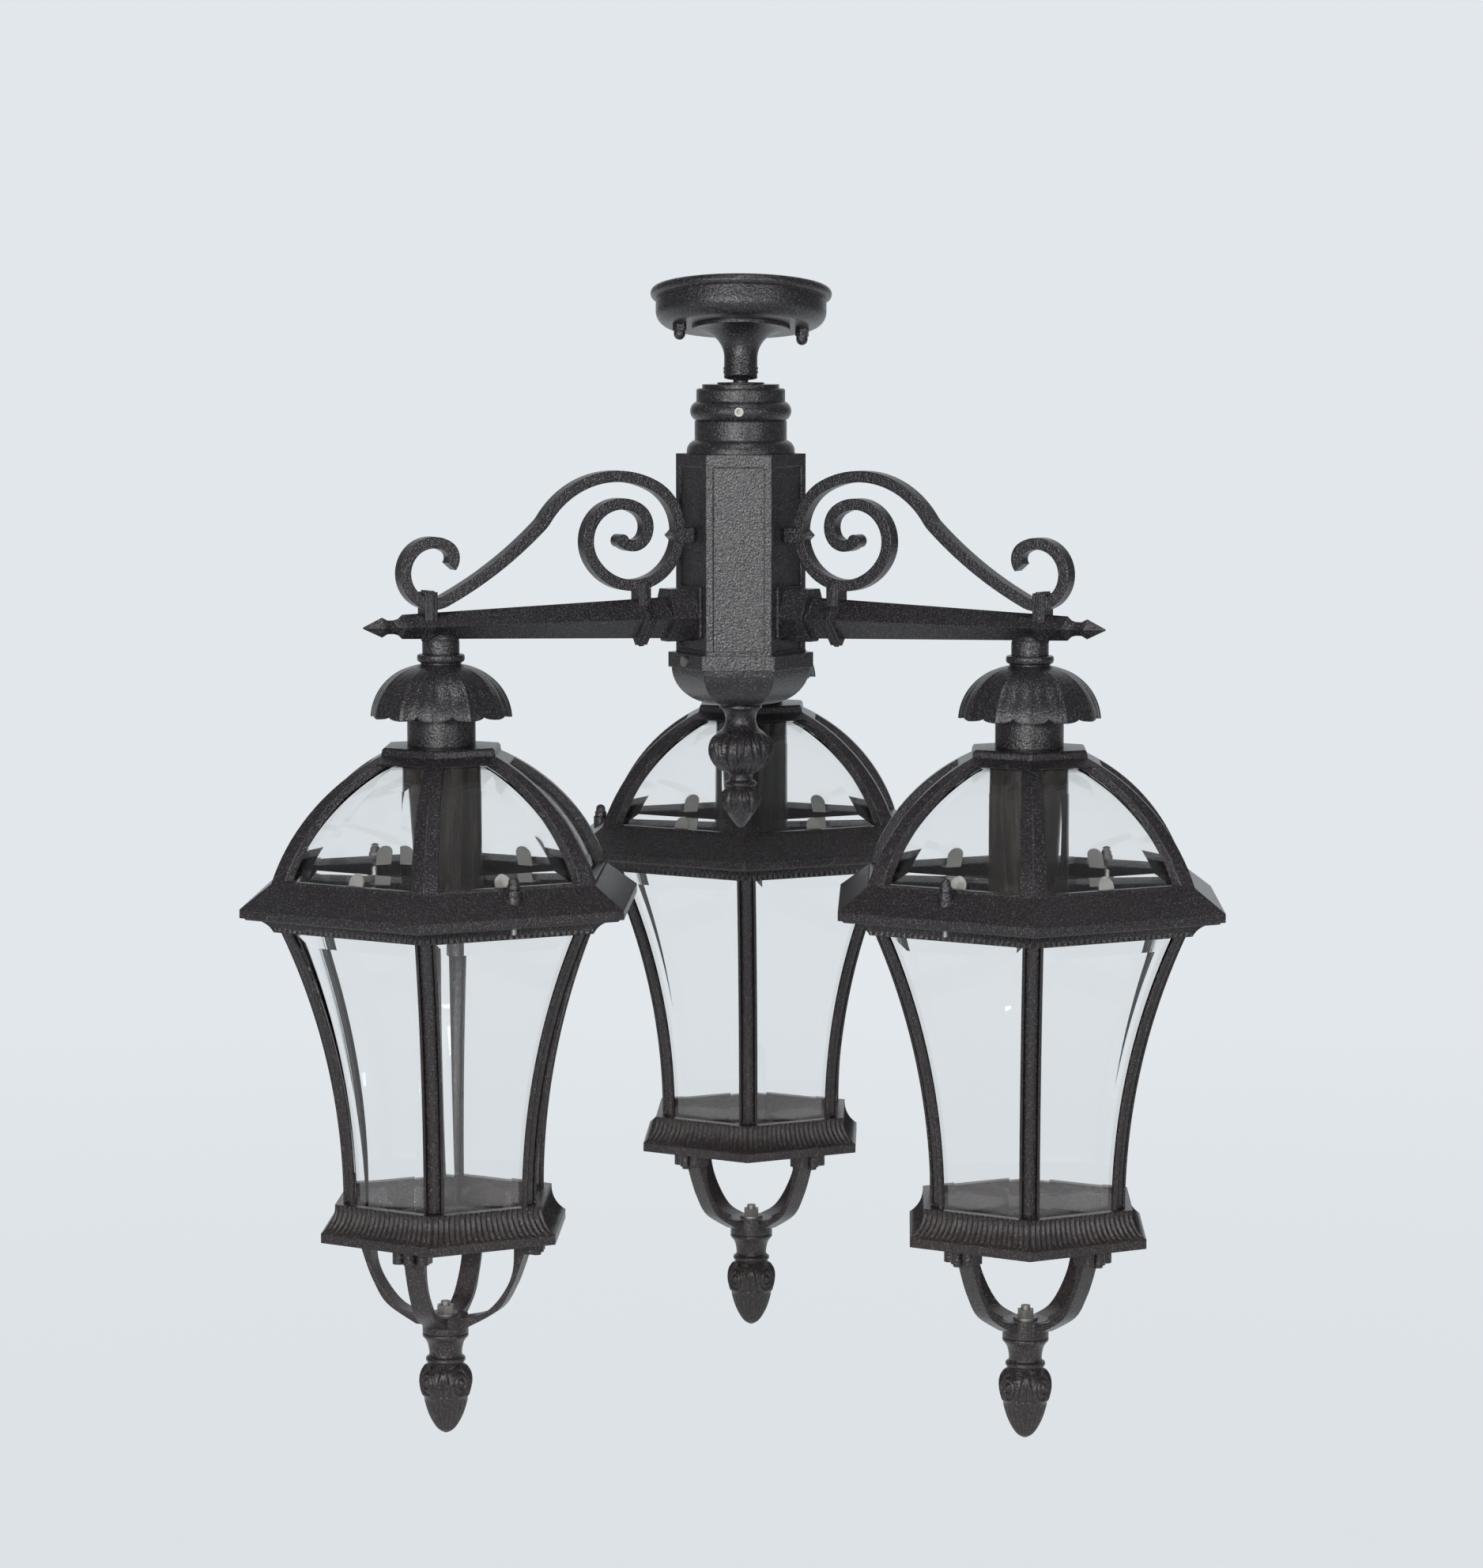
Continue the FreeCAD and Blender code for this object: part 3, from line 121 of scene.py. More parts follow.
class LanternSizes(bpy.types.PropertyGroup):
    """Sizes of the carved and glazed pieces."""

    rim_apothem: length("Rim half width", "Half the width across flats", half_width("top_rim_left"))
    rim_lip: length("Rim lip", "Height of the plain lip above the cove", 0.0015)
    rim_flutes: bpy.props.IntProperty(name="Rim flutes", description="Flutes along one side", default=29)
    rim_flute_depth: length("Rim flute depth", "How deep the cove is fluted", 0.0026)
    body_top: length("Body top", "Half width of the glazed body under the rim", half_width("cage_ribs_left"))
    body_foot: length("Body foot", "Half width of the glazed body at the base", 0.065)
    body_radius: length("Body flare", "Radius of the body's flare", 0.461)
    dome_radius: length("Dome radius", "Radius of the dome's curve", 0.131)
    dome_offset: length("Dome offset", "How far the curve's centre lies past the axis", 0.0223)
    dome_drop: length("Dome drop", "Drop of the curve's centre below the roof plate's step", 0.117)
    plate_step: length("Plate step", "Height of the roof plate above the dome", 0.005)
    base_apothem: length("Base half width", "Half the width across flats", half_width("base_plate_left"))
    base_top: length("Base top", "Half width at the top of the base's slope", 0.0668)
    base_band: length("Base band", "Height of the plain band under the flutes", 0.006)
    base_hole: length("Base hole", "Radius of the opening in the base", 0.05)
    base_well: length("Base well", "Half width of the seat for the panes", 0.0602)
    base_flutes: bpy.props.IntProperty(name="Base flutes", description="Flutes along one side", default=21)
    base_flute_depth: length("Base flute depth", "How deep the slope is fluted", 0.0014)
    rib_wall: length("Rib wall", "Depth of the frame in front of the glass", 0.005)
    rib_half: length("Rib half width", "Half the width of a body rib", 0.0065)
    rib_round: length("Rib round", "Radius of a body rib's rounded nose", 0.0049)
    glass: length("Glass", "Thickness of a pane", 0.004)
    glass_gap: length("Glass gap", "Gap between frame and pane", 0.0004)
    pane_edge: length("Pane edge", "How far a body pane's edge stops short of the corner", 0.0035)
    dome_edge: length("Dome pane edge", "How far a dome pane's edge stops short of the corner", 0.0042)
    bevel_width: length("Bevel width", "Width of the ground edge of a pane", 0.0125)
    bevel_depth: length("Bevel depth", "Depth of the ground edge of a pane", 0.0016)
    petals: bpy.props.IntProperty(name="Petals", description="Petals round a cap", default=12)
    petal_radius: length("Petal radius", "Radius of the cap's edge", 0.0445)
    petal_ring: length("Petal ring", "Radius of the ring on the cap", 0.0153)
    petal_ring_height: length("Ring height", "Height of the ring on the cap", 0.0065)
    petal_wall: length("Petal wall", "Thickness of the cap", 0.0026)
    petal_bulge: length("Petal bulge", "How far a petal swells", 0.0011)
    petal_seam: length("Petal seam", "Height of the raised seam between petals", 0.0008)
    petal_scallop: length("Petal scallop", "How far the edge rises at a seam", 0.0032)
    yoke_drop: length("Yoke drop", "Height of a yoke under its base", 0.067)
    yoke_pad: length("Yoke pad", "Radius at the inner side of a yoke's pads", 0.053)
    yoke_pad_height: length("Pad height", "Height of a yoke's pads", 0.01)
    yoke_pad_width: length("Pad width", "Width of a yoke's pads", 0.024)
    yoke_strap: length("Yoke strap", "Width of a yoke's legs", 0.013)
    hub_radius: length("Hub radius", "Radius of a yoke's hub", 0.015)
    hub_height: length("Hub height", "Height of a yoke's hub", 0.0115)
    screw_circle: length("Screw circle", "Radius of the circle of the yoke's screws", 0.063)
    carving: length("Carving", "Depth of the carving on the lantern finials", 0.002)
    centre_carving: length("Centre carving", "Depth of the carving on the centre finial", 0.0021)


class LanternColours(bpy.types.PropertyGroup):
    """Colours of the finishes and of the stage."""

    coat: colour("Coat", "Powder coat on the castings", (0.0115, 0.0106, 0.0134))
    warm_coat: colour("Warm coat", "Browner patches of the coat", (0.02, 0.0133, 0.0124))
    speck: colour("Speck", "Bright grains in the coat", (0.15, 0.14, 0.145))
    steel: colour("Steel", "Plated fasteners", (0.38, 0.37, 0.35))
    glass: colour("Glass", "Clear panes", (0.985, 0.99, 0.988))
    sleeve: colour("Sleeve", "Lamp sleeves", (0.008, 0.007, 0.0065))
    # The sleeves' paler streak colour is a painted highlight
    sleeve_streak: colour("Sleeve highlight", "Paler streaks down the sleeves", (0.04, 0.033, 0.028))
    block: colour("Block", "Terminal block", (0.78, 0.77, 0.72))
    backdrop: colour("Backdrop", "Floor and backdrop", (0.76, 0.8, 0.83))
    room: colour("Room", "Room light on the camera's side", (0.17, 0.176, 0.183))


# Curves shared by the pieces
def dome_at(sizes, height, inset):
    """Half width across flats of the dome at a height, inside its skin by the inset."""
    rise = height - (ROOF_HIGH - sizes.plate_step - sizes.dome_drop)
    return np.sqrt((sizes.dome_radius - inset) ** 2 - rise * rise) - sizes.dome_offset


def body_at(sizes, height, inset):
    """Half width across flats of the flared body at a height, inside its skin by the inset."""
    rise = np.maximum(height - BASE_HIGH, 0)
    reach = sizes.body_radius + inset
    return sizes.body_foot + sizes.body_radius - np.sqrt(reach * reach - rise * rise)


def arc(start, middle, end, count):
    """Points of the arc through three points, without its start."""
    (ax, az), (bx, bz), (cx, cz) = start, middle, end
    d = 2 * (ax * (bz - cz) + bx * (cz - az) + cx * (az - bz))
    a2, b2, c2 = ax * ax + az * az, bx * bx + bz * bz, cx * cx + cz * cz
    ux = (a2 * (bz - cz) + b2 * (cz - az) + c2 * (az - bz)) / d
    uz = (a2 * (cx - bx) + b2 * (ax - cx) + c2 * (bx - ax)) / d
    first = math.atan2(az - uz, ax - ux)
    sweep = (math.atan2(cz - uz, cx - ux) - first + math.pi) % TURN - math.pi
    radius = math.hypot(ax - ux, az - uz)
    angles = [first + sweep * k / count for k in range(1, count + 1)]
    return [(ux + radius * math.cos(t), uz + radius * math.sin(t)) for t in angles]


def smooth(points, count):
    """A smooth chain through the points, with the given steps between neighbours."""
    ends = [points[0]] + list(points) + [points[-1]]
    chain = [points[0]]
    for p, q, r, s in zip(ends, ends[1:], ends[2:], ends[3:]):
        for k in range(1, count + 1):
            t = k / count
            spot = []
            for a, b, c, d in zip(p, q, r, s):
                bend = (2 * a - 5 * b + 4 * c - d) * t * t + (3 * b - a - 3 * c + d) * t ** 3
                spot.append(0.5 * (2 * b + (c - a) * t + bend))
            chain.append(tuple(spot))
    return chain


def ease(low, high, value):
    """0 below low, 1 above high and a smooth step between them."""
    t = np.clip((value - low) / (high - low), 0, 1)
    return t * t * (3 - 2 * t)


def bump_at(value, width):
    """1 where the value is 0, falling away to both sides."""
    return np.exp(-(value / width) ** 2)


# Modelling steps shared by the pieces
def pick(piece):
    """Make a piece the one that is selected and active."""
    bpy.ops.object.select_all(action="DESELECT")
    piece.select_set(True)
    bpy.context.view_layer.objects.active = piece


def settle():
    """Put the place, turn and scale of what is selected into its mesh."""
    bpy.ops.object.transform_apply(location=True, rotation=True, scale=True)


def open_edit():
    """Open the active piece in edit mode with all its points selected."""
    bpy.ops.object.mode_set(mode="EDIT")
    bpy.ops.mesh.select_mode(type="VERT")
    bpy.ops.mesh.select_all(action="SELECT")


def close_edit():
    """Merge doubles, turn the faces outwards and leave edit mode."""
    bpy.ops.mesh.select_all(action="SELECT")
    bpy.ops.mesh.remove_doubles(threshold=TOUCHING)
    bpy.ops.mesh.normals_make_consistent(inside=False)
    bpy.ops.object.mode_set(mode="OBJECT")


def draw_chain(points):
    """A chain of edges, drawn by extruding one vertex from point to point. Left in edit mode."""
    points = [Vector(p) for p in points]
    bpy.ops.object.select_all(action="DESELECT")
    bpy.ops.mesh.primitive_plane_add(size=0.001, location=points[0])
    settle()
    open_edit()
    bpy.ops.mesh.merge(type="CENTER")
    for start, end in zip(points, points[1:]):
        bpy.ops.mesh.extrude_vertices_move(TRANSFORM_OT_translate={"value": end - start})
    return bpy.context.object


def turn_outline(outline, steps):
    """A turned piece from radius and height points, about the upright through the origin."""
    piece = draw_chain([(r, 0, z) for r, z in outline])
    bpy.ops.mesh.select_all(action="SELECT")
    bpy.ops.mesh.spin(steps=steps, angle=TURN, center=(0, 0, 0), axis=(0, 0, 1))
    close_edit()
    return piece


def hexagon_outline(outline):
    """A six sided ring from half width and height points, with faces square to X."""
    chain = [(a * HEX_CORNER * CORNER_X, a * HEX_CORNER * CORNER_Y, z) for a, z in outline]
    piece = draw_chain(chain + chain[:1])
    bpy.ops.mesh.select_all(action="SELECT")
    bpy.ops.mesh.spin(steps=6, angle=TURN, center=(0, 0, 0), axis=(0, 0, 1))
    close_edit()
    return piece


def spots_of(piece):
    """The points of a piece, one row each."""
    spots = np.empty(len(piece.data.vertices) * 3)
    piece.data.vertices.foreach_get("co", spots)
    return spots.reshape(-1, 3)


def put_spots(piece, spots):
    """Move the points of a piece to new places."""
    piece.data.vertices.foreach_set("co", np.ascontiguousarray(spots, dtype=np.float64).ravel())
    piece.data.update()


def side_place(spots):
    """Face angle, half width across flats and distance along the side of each point of a hexagon."""
    angle = np.arctan2(spots[:, 1], spots[:, 0])
    face = np.round(angle / (TURN / 6)) * (TURN / 6)
    apothem = spots[:, 0] * np.cos(face) + spots[:, 1] * np.sin(face)
    along = spots[:, 1] * np.cos(face) - spots[:, 0] * np.sin(face)
    return face, apothem, along


def divide_sides(piece, cuts):
    """Cut every edge that runs along a side of the hexagon into equal lengths."""
    bpy.ops.object.mode_set(mode="EDIT")
    bpy.ops.mesh.select_mode(type="EDGE")
    bpy.ops.mesh.select_all(action="DESELECT")
    bpy.ops.object.mode_set(mode="OBJECT")
    spots = spots_of(piece)
    for edge in piece.data.edges:
        ends = spots[list(edge.vertices)]
        middle = ends.mean(axis=0, keepdims=True)
        face = side_place(middle)[0][0]
        depth = ends[:, 0] * math.cos(face) + ends[:, 1] * math.sin(face)
        gap = max(abs(depth[0] - depth[1]), abs(ends[0, 2] - ends[1, 2]))
        edge.select = bool(gap < TOUCHING)
    bpy.ops.object.mode_set(mode="EDIT")
    bpy.ops.mesh.subdivide(number_cuts=cuts)
    bpy.ops.object.mode_set(mode="OBJECT")


def push_in(spots, face, depth):
    """Move points of a hexagon towards the axis, square to their faces."""
    spots[:, 0] -= depth * np.cos(face)
    spots[:, 1] -= depth * np.sin(face)


def flute_at(apothem, along, flutes):
    """Which of a side's flutes each point lies in, with the share of that flute it has crossed."""
    return (along / (apothem * HEX_SLOPE) + 1) / 2 * flutes


def turned_copies(count):
    """Copies of all that is open in edit mode, so that the given count stands round the axis."""
    bpy.ops.mesh.select_all(action="SELECT")
    sweep = TURN * (count - 1) / count
    bpy.ops.mesh.spin(steps=count - 1, dupli=True, angle=sweep, center=(0, 0, 0), axis=(0, 0, 1))


def shade(piece, degrees):
    """Shade a piece smooth, apart from edges where its faces turn by more than the angle."""
    pick(piece)
    bpy.ops.object.shade_smooth_by_angle(angle=math.radians(degrees))


def fit_out(piece, name, node, slot_name, finish=None):
    """Name a finished piece, coat it, with its slot's finish if none is given, hang it on the fixture's body
    and hide its CAD node.
    """
    piece.name = name
    piece.data.name = name
    piece.data.materials.clear()
    piece.data.materials.append(finish or finish_for(slot_name))
    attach(piece, BODY)
    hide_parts(node)


def three_copies(piece, turns=None):
    """Copies of a piece at the three lanterns, each with its own mesh, in place of the piece."""
    copies = {}
    for side in SIDES:
        pick(piece)
        bpy.ops.object.duplicate()
        copy = bpy.context.object
        copy.location = AXES[side]
        copy.rotation_euler = (0, 0, turns[side] if turns else 0)
        settle()
        copies[side] = copy
    bpy.data.objects.remove(piece)
    return copies


def hang_three(piece, name, node, slot_name, turns=None):
    """Hang a piece in the three lanterns, where each copy stands for a node of its own."""
    for side, copy in three_copies(piece, turns).items():
        fit_out(copy, name + "_" + side, node + "_" + side, slot_name)


def hang_joined(piece, name, node, slot_name, turns=None, finish=None):
    """Hang a piece in the three lanterns as one object that stands for one node."""
    copies = list(three_copies(piece, turns).values())
    bpy.ops.object.select_all(action="DESELECT")
    for copy in copies:
        copy.select_set(True)
    bpy.context.view_layer.objects.active = copies[0]
    bpy.ops.object.join()
    fit_out(copies[0], name, node, slot_name, finish)


def add_disc(radius, low, high, x=0, y=0, steps=32):
    """An upright disc, which joins what is open in edit mode."""
    place = (x, y, (low + high) / 2)
    bpy.ops.mesh.primitive_cylinder_add(vertices=steps, radius=radius, depth=high - low, location=place)


def start_disc(radius, low, high, x=0, steps=32):
    """A new piece that starts as an upright disc."""
    bpy.ops.object.select_all(action="DESELECT")
    add_disc(radius, low, high, x, steps=steps)
    settle()
    return bpy.context.object


# Shader building
class Wire:
    """One socket of a shader tree, so that sums on it add their nodes."""

    def __init__(self, tree, socket=None):
        self.tree = tree
        self.socket = socket

    def add(self, kind, settings=None, sockets=None, out=0):
        """Add a node, first its settings and then its sockets, and return one of its outputs."""
        node = self.tree.nodes.new(kind)
        for key, value in (settings or {}).items():
            setattr(node, key, value)
        for key, value in (sockets or {}).items():
            if isinstance(value, Wire):
                self.tree.links.new(value.socket, node.inputs[key])
            else:
                node.inputs[key].default_value = value
        return Wire(self.tree, node.outputs[out])

    def maths(self, operation, left, right):
        """Add a Math node on two values."""
        return self.add("ShaderNodeMath", {"operation": operation}, {0: left, 1: right})

    def __add__(self, other):
        return self.maths("ADD", self, other)

    __radd__ = __add__

    def __sub__(self, other):
        return self.maths("SUBTRACT", self, other)

    def __rsub__(self, other):
        return self.maths("SUBTRACT", other, self)

    def __mul__(self, other):
        return self.maths("MULTIPLY", self, other)

    __rmul__ = __mul__

    def mix(self, first, second):
        """The first colour where this value is 0 and the second where it is 1."""
        sockets = {0: self, 6: first, 7: second}
        return self.add("ShaderNodeMix", {"data_type": "RGBA"}, sockets, out=2)


def opaque(rgb):
    """A colour with full alpha."""
    return (*rgb, 1)


def new_finish(name):
    """A new material with an empty tree: the material, its maker and its place in object coordinates."""
    finish = bpy.data.materials.new(name)
    finish.use_nodes = True
    finish.node_tree.nodes.clear()
    maker = Wire(finish.node_tree)
    place = maker.add("ShaderNodeTexCoord", out=3)
    return finish, maker, place


def noise(maker, place, scale, detail, roughness=0.5):
    """A noise pattern from 0 to 1."""
    sockets = {"Vector": place, "Scale": scale, "Detail": detail, "Roughness": roughness}
    return maker.add("ShaderNodeTexNoise", None, sockets)


def between(maker, value, start, end, first=0.0, last=1.0, curve="LINEAR"):
    """A value taken from the span between start and end to the span between first and last."""
    sockets = {0: value, 1: start, 2: end, 3: first, 4: last}
    return maker.add("ShaderNodeMapRange", {"interpolation_type": curve}, sockets)


def surface(maker, shader, kind="ShaderNodeOutputMaterial"):
    """Lead a shader to the tree's output."""
    output = maker.tree.nodes.new(kind)
    maker.tree.links.new(shader.socket, output.inputs["Surface"])


def black_coat(colours):
    """Fine textured powder coat: dark, a little warm low down, with bright grains and softened edges."""
    finish, maker, place = new_finish("black_coat")
    cloud = noise(maker, place, 26, 3)
    grain = noise(maker, place, 620, 2, 0.6)
    sparkle = noise(maker, place, 1050, 1)
    height = maker.add("ShaderNodeSeparateXYZ", None, {0: place}, out=2)
    low_down = between(maker, height, -0.25, -0.62, 0.0, 0.75)
    warmth = maker.add("ShaderNodeClamp", None, {0: low_down + cloud * 0.9 - 0.35})
    tint = warmth.mix(opaque(colours.coat), opaque(colours.warm_coat))
    specks = between(maker, sparkle, 0.56, 0.74, 0.0, 0.6)
    tint = specks.mix(tint, opaque(colours.speck))
    edges = maker.add("ShaderNodeBevel", {"samples": 4}, {0: 0.0013})
    bump = {"Strength": 0.8, "Distance": 0.0006, "Height": grain, "Normal": edges}
    relief = maker.add("ShaderNodeBump", None, bump)
    sockets = {"Base Color": tint, "Roughness": 0.22 + grain * 0.16, "Normal": relief}
    surface(maker, maker.add("ShaderNodeBsdfPrincipled", None, sockets))
    return finish


def plated_fastener(colours):
    """Zinc plated fasteners with fine brushing and dull patches."""
    finish, maker, place = new_finish("plated_fastener")
    brushed = maker.add("ShaderNodeMapping", None, {"Vector": place, "Scale": (1, 1, 6)})
    scratch = noise(maker, brushed, 420, 3)
    patch = noise(maker, place, 90, 2)
    dull = patch.mix(opaque(colours.steel), opaque([0.72 * c for c in colours.steel]))
    relief = maker.add("ShaderNodeBump", None, {"Strength": 0.2, "Distance": 0.0001, "Height": scratch})
    sockets = {"Base Color": dull, "Metallic": 1.0, "Roughness": 0.44 + scratch * 0.2, "Normal": relief}
    surface(maker, maker.add("ShaderNodeBsdfPrincipled", None, sockets))
    return finish


def pane_glass(colours):
    """Clear bent glass, faintly wavy, that lets the lamps' light through."""
    finish, maker, place = new_finish("pane_glass")
    wave = noise(maker, place, 9, 2)
    smear = noise(maker, place, 40, 3)
    relief = maker.add("ShaderNodeBump", None, {"Strength": 0.03, "Distance": 0.002, "Height": wave})
    sockets = {
        "Base Color": opaque(colours.glass),
        "Roughness": smear * 0.03,
        "IOR": 1.5,
        "Transmission Weight": 1.0,
        "Normal": relief,
    }
    pane = maker.add("ShaderNodeBsdfPrincipled", None, sockets)
    through = maker.add("ShaderNodeBsdfTransparent", None, {"Color": opaque(colours.glass)})
    shadow = maker.add("ShaderNodeLightPath", out=1)
    surface(maker, maker.add("ShaderNodeMixShader", None, {0: shadow, 1: pane, 2: through}))
    return finish


def sleeve_gloss(colours):
    """Glossy dark sleeve with paler streaks drawn down it as painted highlights."""
    finish, maker, place = new_finish("sleeve_gloss")
    drawn = maker.add("ShaderNodeMapping", None, {"Vector": place, "Scale": (1, 1, 0.06)})
    streak = noise(maker, drawn, 160, 3)
    blotch = noise(maker, place, 30, 3)
    # Paler streaks mixed into the colour: painted highlights down the glossy sleeve
    highlight_streaks = maker.add("ShaderNodeClamp", None, {0: streak * 1.7 - 0.55})
    tint = highlight_streaks.mix(opaque(colours.sleeve), opaque(colours.sleeve_streak))
    relief = maker.add("ShaderNodeBump", None, {"Strength": 0.08, "Distance": 0.0004, "Height": streak})
    sockets = {"Base Color": tint, "Roughness": 0.1 + blotch * 0.16, "Normal": relief}
    surface(maker, maker.add("ShaderNodeBsdfPrincipled", None, sockets))
    return finish


def block_plastic(colours):
    """Moulded matt plastic with a slight mottle."""
    finish, maker, place = new_finish("block_plastic")
    mottle = noise(maker, place, 120, 3)
    tint = mottle.mix(opaque(colours.block), opaque([0.88 * c for c in colours.block]))
    relief = maker.add("ShaderNodeBump", None, {"Strength": 0.15, "Distance": 0.0002, "Height": mottle})
    sockets = {"Base Color": tint, "Roughness": 0.5 + mottle * 0.15, "Normal": relief}
    surface(maker, maker.add("ShaderNodeBsdfPrincipled", None, sockets))
    return finish


FINISHES = {
    "black_casting": black_coat,
    "plated_steel": plated_fastener,
    "clear_glass": pane_glass,
    "gloss_black": sleeve_gloss,
    "white_plastic": block_plastic,
}


def finish_for(slot_name):
    """The material of a slot, made the first time that it is asked for."""
    maker = FINISHES[slot_name]
    return bpy.data.materials.get(maker.__name__) or maker(bpy.context.scene.lantern_colours)


# Operators, one for each kind of piece
class LANTERN_OT_castings(bpy.types.Operator):
    """Give every CAD node the finish of its slot"""

    bl_idname = "lantern.castings"
    bl_label = "Castings and fittings"

    def execute(self, context):
        for part in frame["record"]["subparts"]:
            node = frame["nodes"][part["node"]]
            slot_name = "black_casting" if part["node"] in PAINTED else part["material_slot"]
            node.data.materials.clear()
            node.data.materials.append(finish_for(slot_name))
        return {"FINISHED"}


class LANTERN_OT_rims(bpy.types.Operator):
    """Model the fluted rim under each lantern's roof"""

    bl_idname = "lantern.rims"
    bl_label = "Fluted rims"

    def execute(self, context):
        sizes = context.scene.lantern_sizes
        lip_inset, foot_reach = 0.001, 0.0005
        cove_share = 0.36
        foot_plain, foot_fade, lip_fade = 0.0002, 0.0016, 0.0012
        inside = body_at(sizes, BODY_PANE_HIGH, sizes.rib_wall + sizes.glass_gap) + sizes.glass_gap
        lip_low = RIM_HIGH - sizes.rim_lip
        lip = (sizes.rim_apothem - lip_inset, lip_low)
        foot = (sizes.body_top + foot_reach, RIM_LOW)
        across = sizes.rim_apothem - sizes.body_top
        sag = (sizes.body_top + cove_share * across, RIM_HIGH - cove_share * (RIM_HIGH - RIM_LOW))
        outline = [(inside, RIM_HIGH), (sizes.rim_apothem, RIM_HIGH), lip]
        outline += arc(lip, sag, foot, 10) + [(inside, RIM_LOW)]
        rim = hexagon_outline(outline)
        divide_sides(rim, sizes.rim_flutes - 1)
        divide_sides(rim, 3)
        spots = spots_of(rim)
        face, apothem, along = side_place(spots)
        hollow = np.abs(np.sin(np.pi * flute_at(apothem, along, sizes.rim_flutes)))
        cove = ease(RIM_LOW + foot_plain, RIM_LOW + foot_fade, spots[:, 2])
        cove *= 1 - ease(lip_low - lip_fade, lip_low, spots[:, 2])
        cove *= apothem > sizes.body_top
        push = sizes.rim_flute_depth * hollow * cove * math.sqrt(0.5)
        push_in(spots, face, push)
        spots[:, 2] += push
        put_spots(rim, spots)
        shade(rim, 40)
        hang_three(rim, "fluted_rim", "top_rim", "black_casting")
        return {"FINISHED"}


class LANTERN_OT_bases(bpy.types.Operator):
    """Model the fluted base plate under each lantern's glass"""

    bl_idname = "lantern.bases"
    bl_label = "Fluted bases"

    def execute(self, context):
        sizes = context.scene.lantern_sizes
        sag_reach, sag_share = 0.0018, 0.55
        flute_start, flute_stop, flute_round = 0.04, 0.93, 0.12
        flute_half, edge_in, edge_out = 0.36, 0.1, 0.04
        skin = 0.0005
        mouth_wall = 0.001
        band = BASE_LOW + sizes.base_band
        top = (sizes.base_top, BASE_HIGH)
        edge = (sizes.base_apothem, band)
        slope = BASE_HIGH - band
        sag = (sizes.base_top + sag_reach, BASE_HIGH - sag_share * slope)
        outline = [(sizes.base_well, BASE_HIGH), top] + arc(top, sag, edge, 14)
        outline += [(sizes.base_apothem, BASE_LOW), (sizes.base_hole, BASE_LOW)]
        outline += [(sizes.base_hole, BODY_PANE_LOW), (sizes.base_well, BODY_PANE_LOW)]
        base = hexagon_outline(outline)
        divide_sides(base, sizes.base_flutes - 1)
        divide_sides(base, 5)
        spots = spots_of(base)
        face, apothem, along = side_place(spots)
        flute = flute_at(apothem, along, sizes.base_flutes)
        across = np.abs(flute - np.floor(flute) - 0.5)
        down = (BASE_HIGH - spots[:, 2]) / slope
        end = np.clip(np.minimum(down - flute_start, flute_stop - down) / flute_round, 0, 1)
        reach = flute_half * np.sqrt(np.clip(1 - (1 - end) ** 2, 0, 1))
        hollow = 1 - ease(reach - edge_in, reach + edge_out, across)
        hollow *= (end > 0) * (apothem > sizes.base_top - skin)
        push_in(spots, face, sizes.base_flute_depth * hollow)
        mouth = apothem < sizes.base_hole + mouth_wall
        far = np.hypot(spots[:, 0], spots[:, 1])
        spots[mouth, :2] *= (sizes.base_hole / far[mouth])[:, None]
        put_spots(base, spots)
        shade(base, 35)
        hang_three(base, "fluted_base", "base_plate", "black_casting")
        return {"FINISHED"}


class LANTERN_OT_ribs(bpy.types.Operator):
    """Model the half round ribs at the corners of each lantern's body"""

    bl_idname = "lantern.ribs"
    bl_label = "Body ribs"

    def execute(self, context):
        sizes = context.scene.lantern_sizes
        nose_setback, wing_lip, lip_step = 0.0011, 0.0022, 0.0008
        half = sizes.rib_half
        nose = sizes.rib_round
        wing = -(sizes.rib_wall * HEX_CORNER + half * HEX_SLOPE)
        front = wing + wing_lip
        root = -(nose_setback + nose)
        section = [(wing, -half), (front, -half), (front, -half + lip_step), (root, -nose)]
        section += arc((root, -nose), (root + nose, 0), (root, nose), 12)
        section += [(front, half - lip_step), (front, half), (wing, half)]
        section += [(-sizes.rib_wall * HEX_CORNER, 0)]
        levels = np.linspace(RIB_HIGH, RIB_LOW, 22)
        corners = body_at(sizes, levels, 0) * HEX_CORNER
        out = Vector((CORNER_X, CORNER_Y, 0))
        across = Vector((-out.y, out.x, 0))
        start = out * corners[0] + Vector((0, 0, levels[0]))
        rib = draw_chain([start + out * r + across * t for r, t in section])
        bpy.ops.mesh.select_all(action="SELECT")
        bpy.ops.mesh.edge_face_add()
        for k in range(1, len(levels)):
            step = out * (corners[k] - corners[k - 1]) + Vector((0, 0, levels[k] - levels[k - 1]))
            bpy.ops.mesh.extrude_region_move(TRANSFORM_OT_translate={"value": step})
        turned_copies(6)
        close_edit()
        shade(rib, 30)
        hang_three(rib, "half_round_ribs", "cage_ribs", "black_casting")
        return {"FINISHED"}


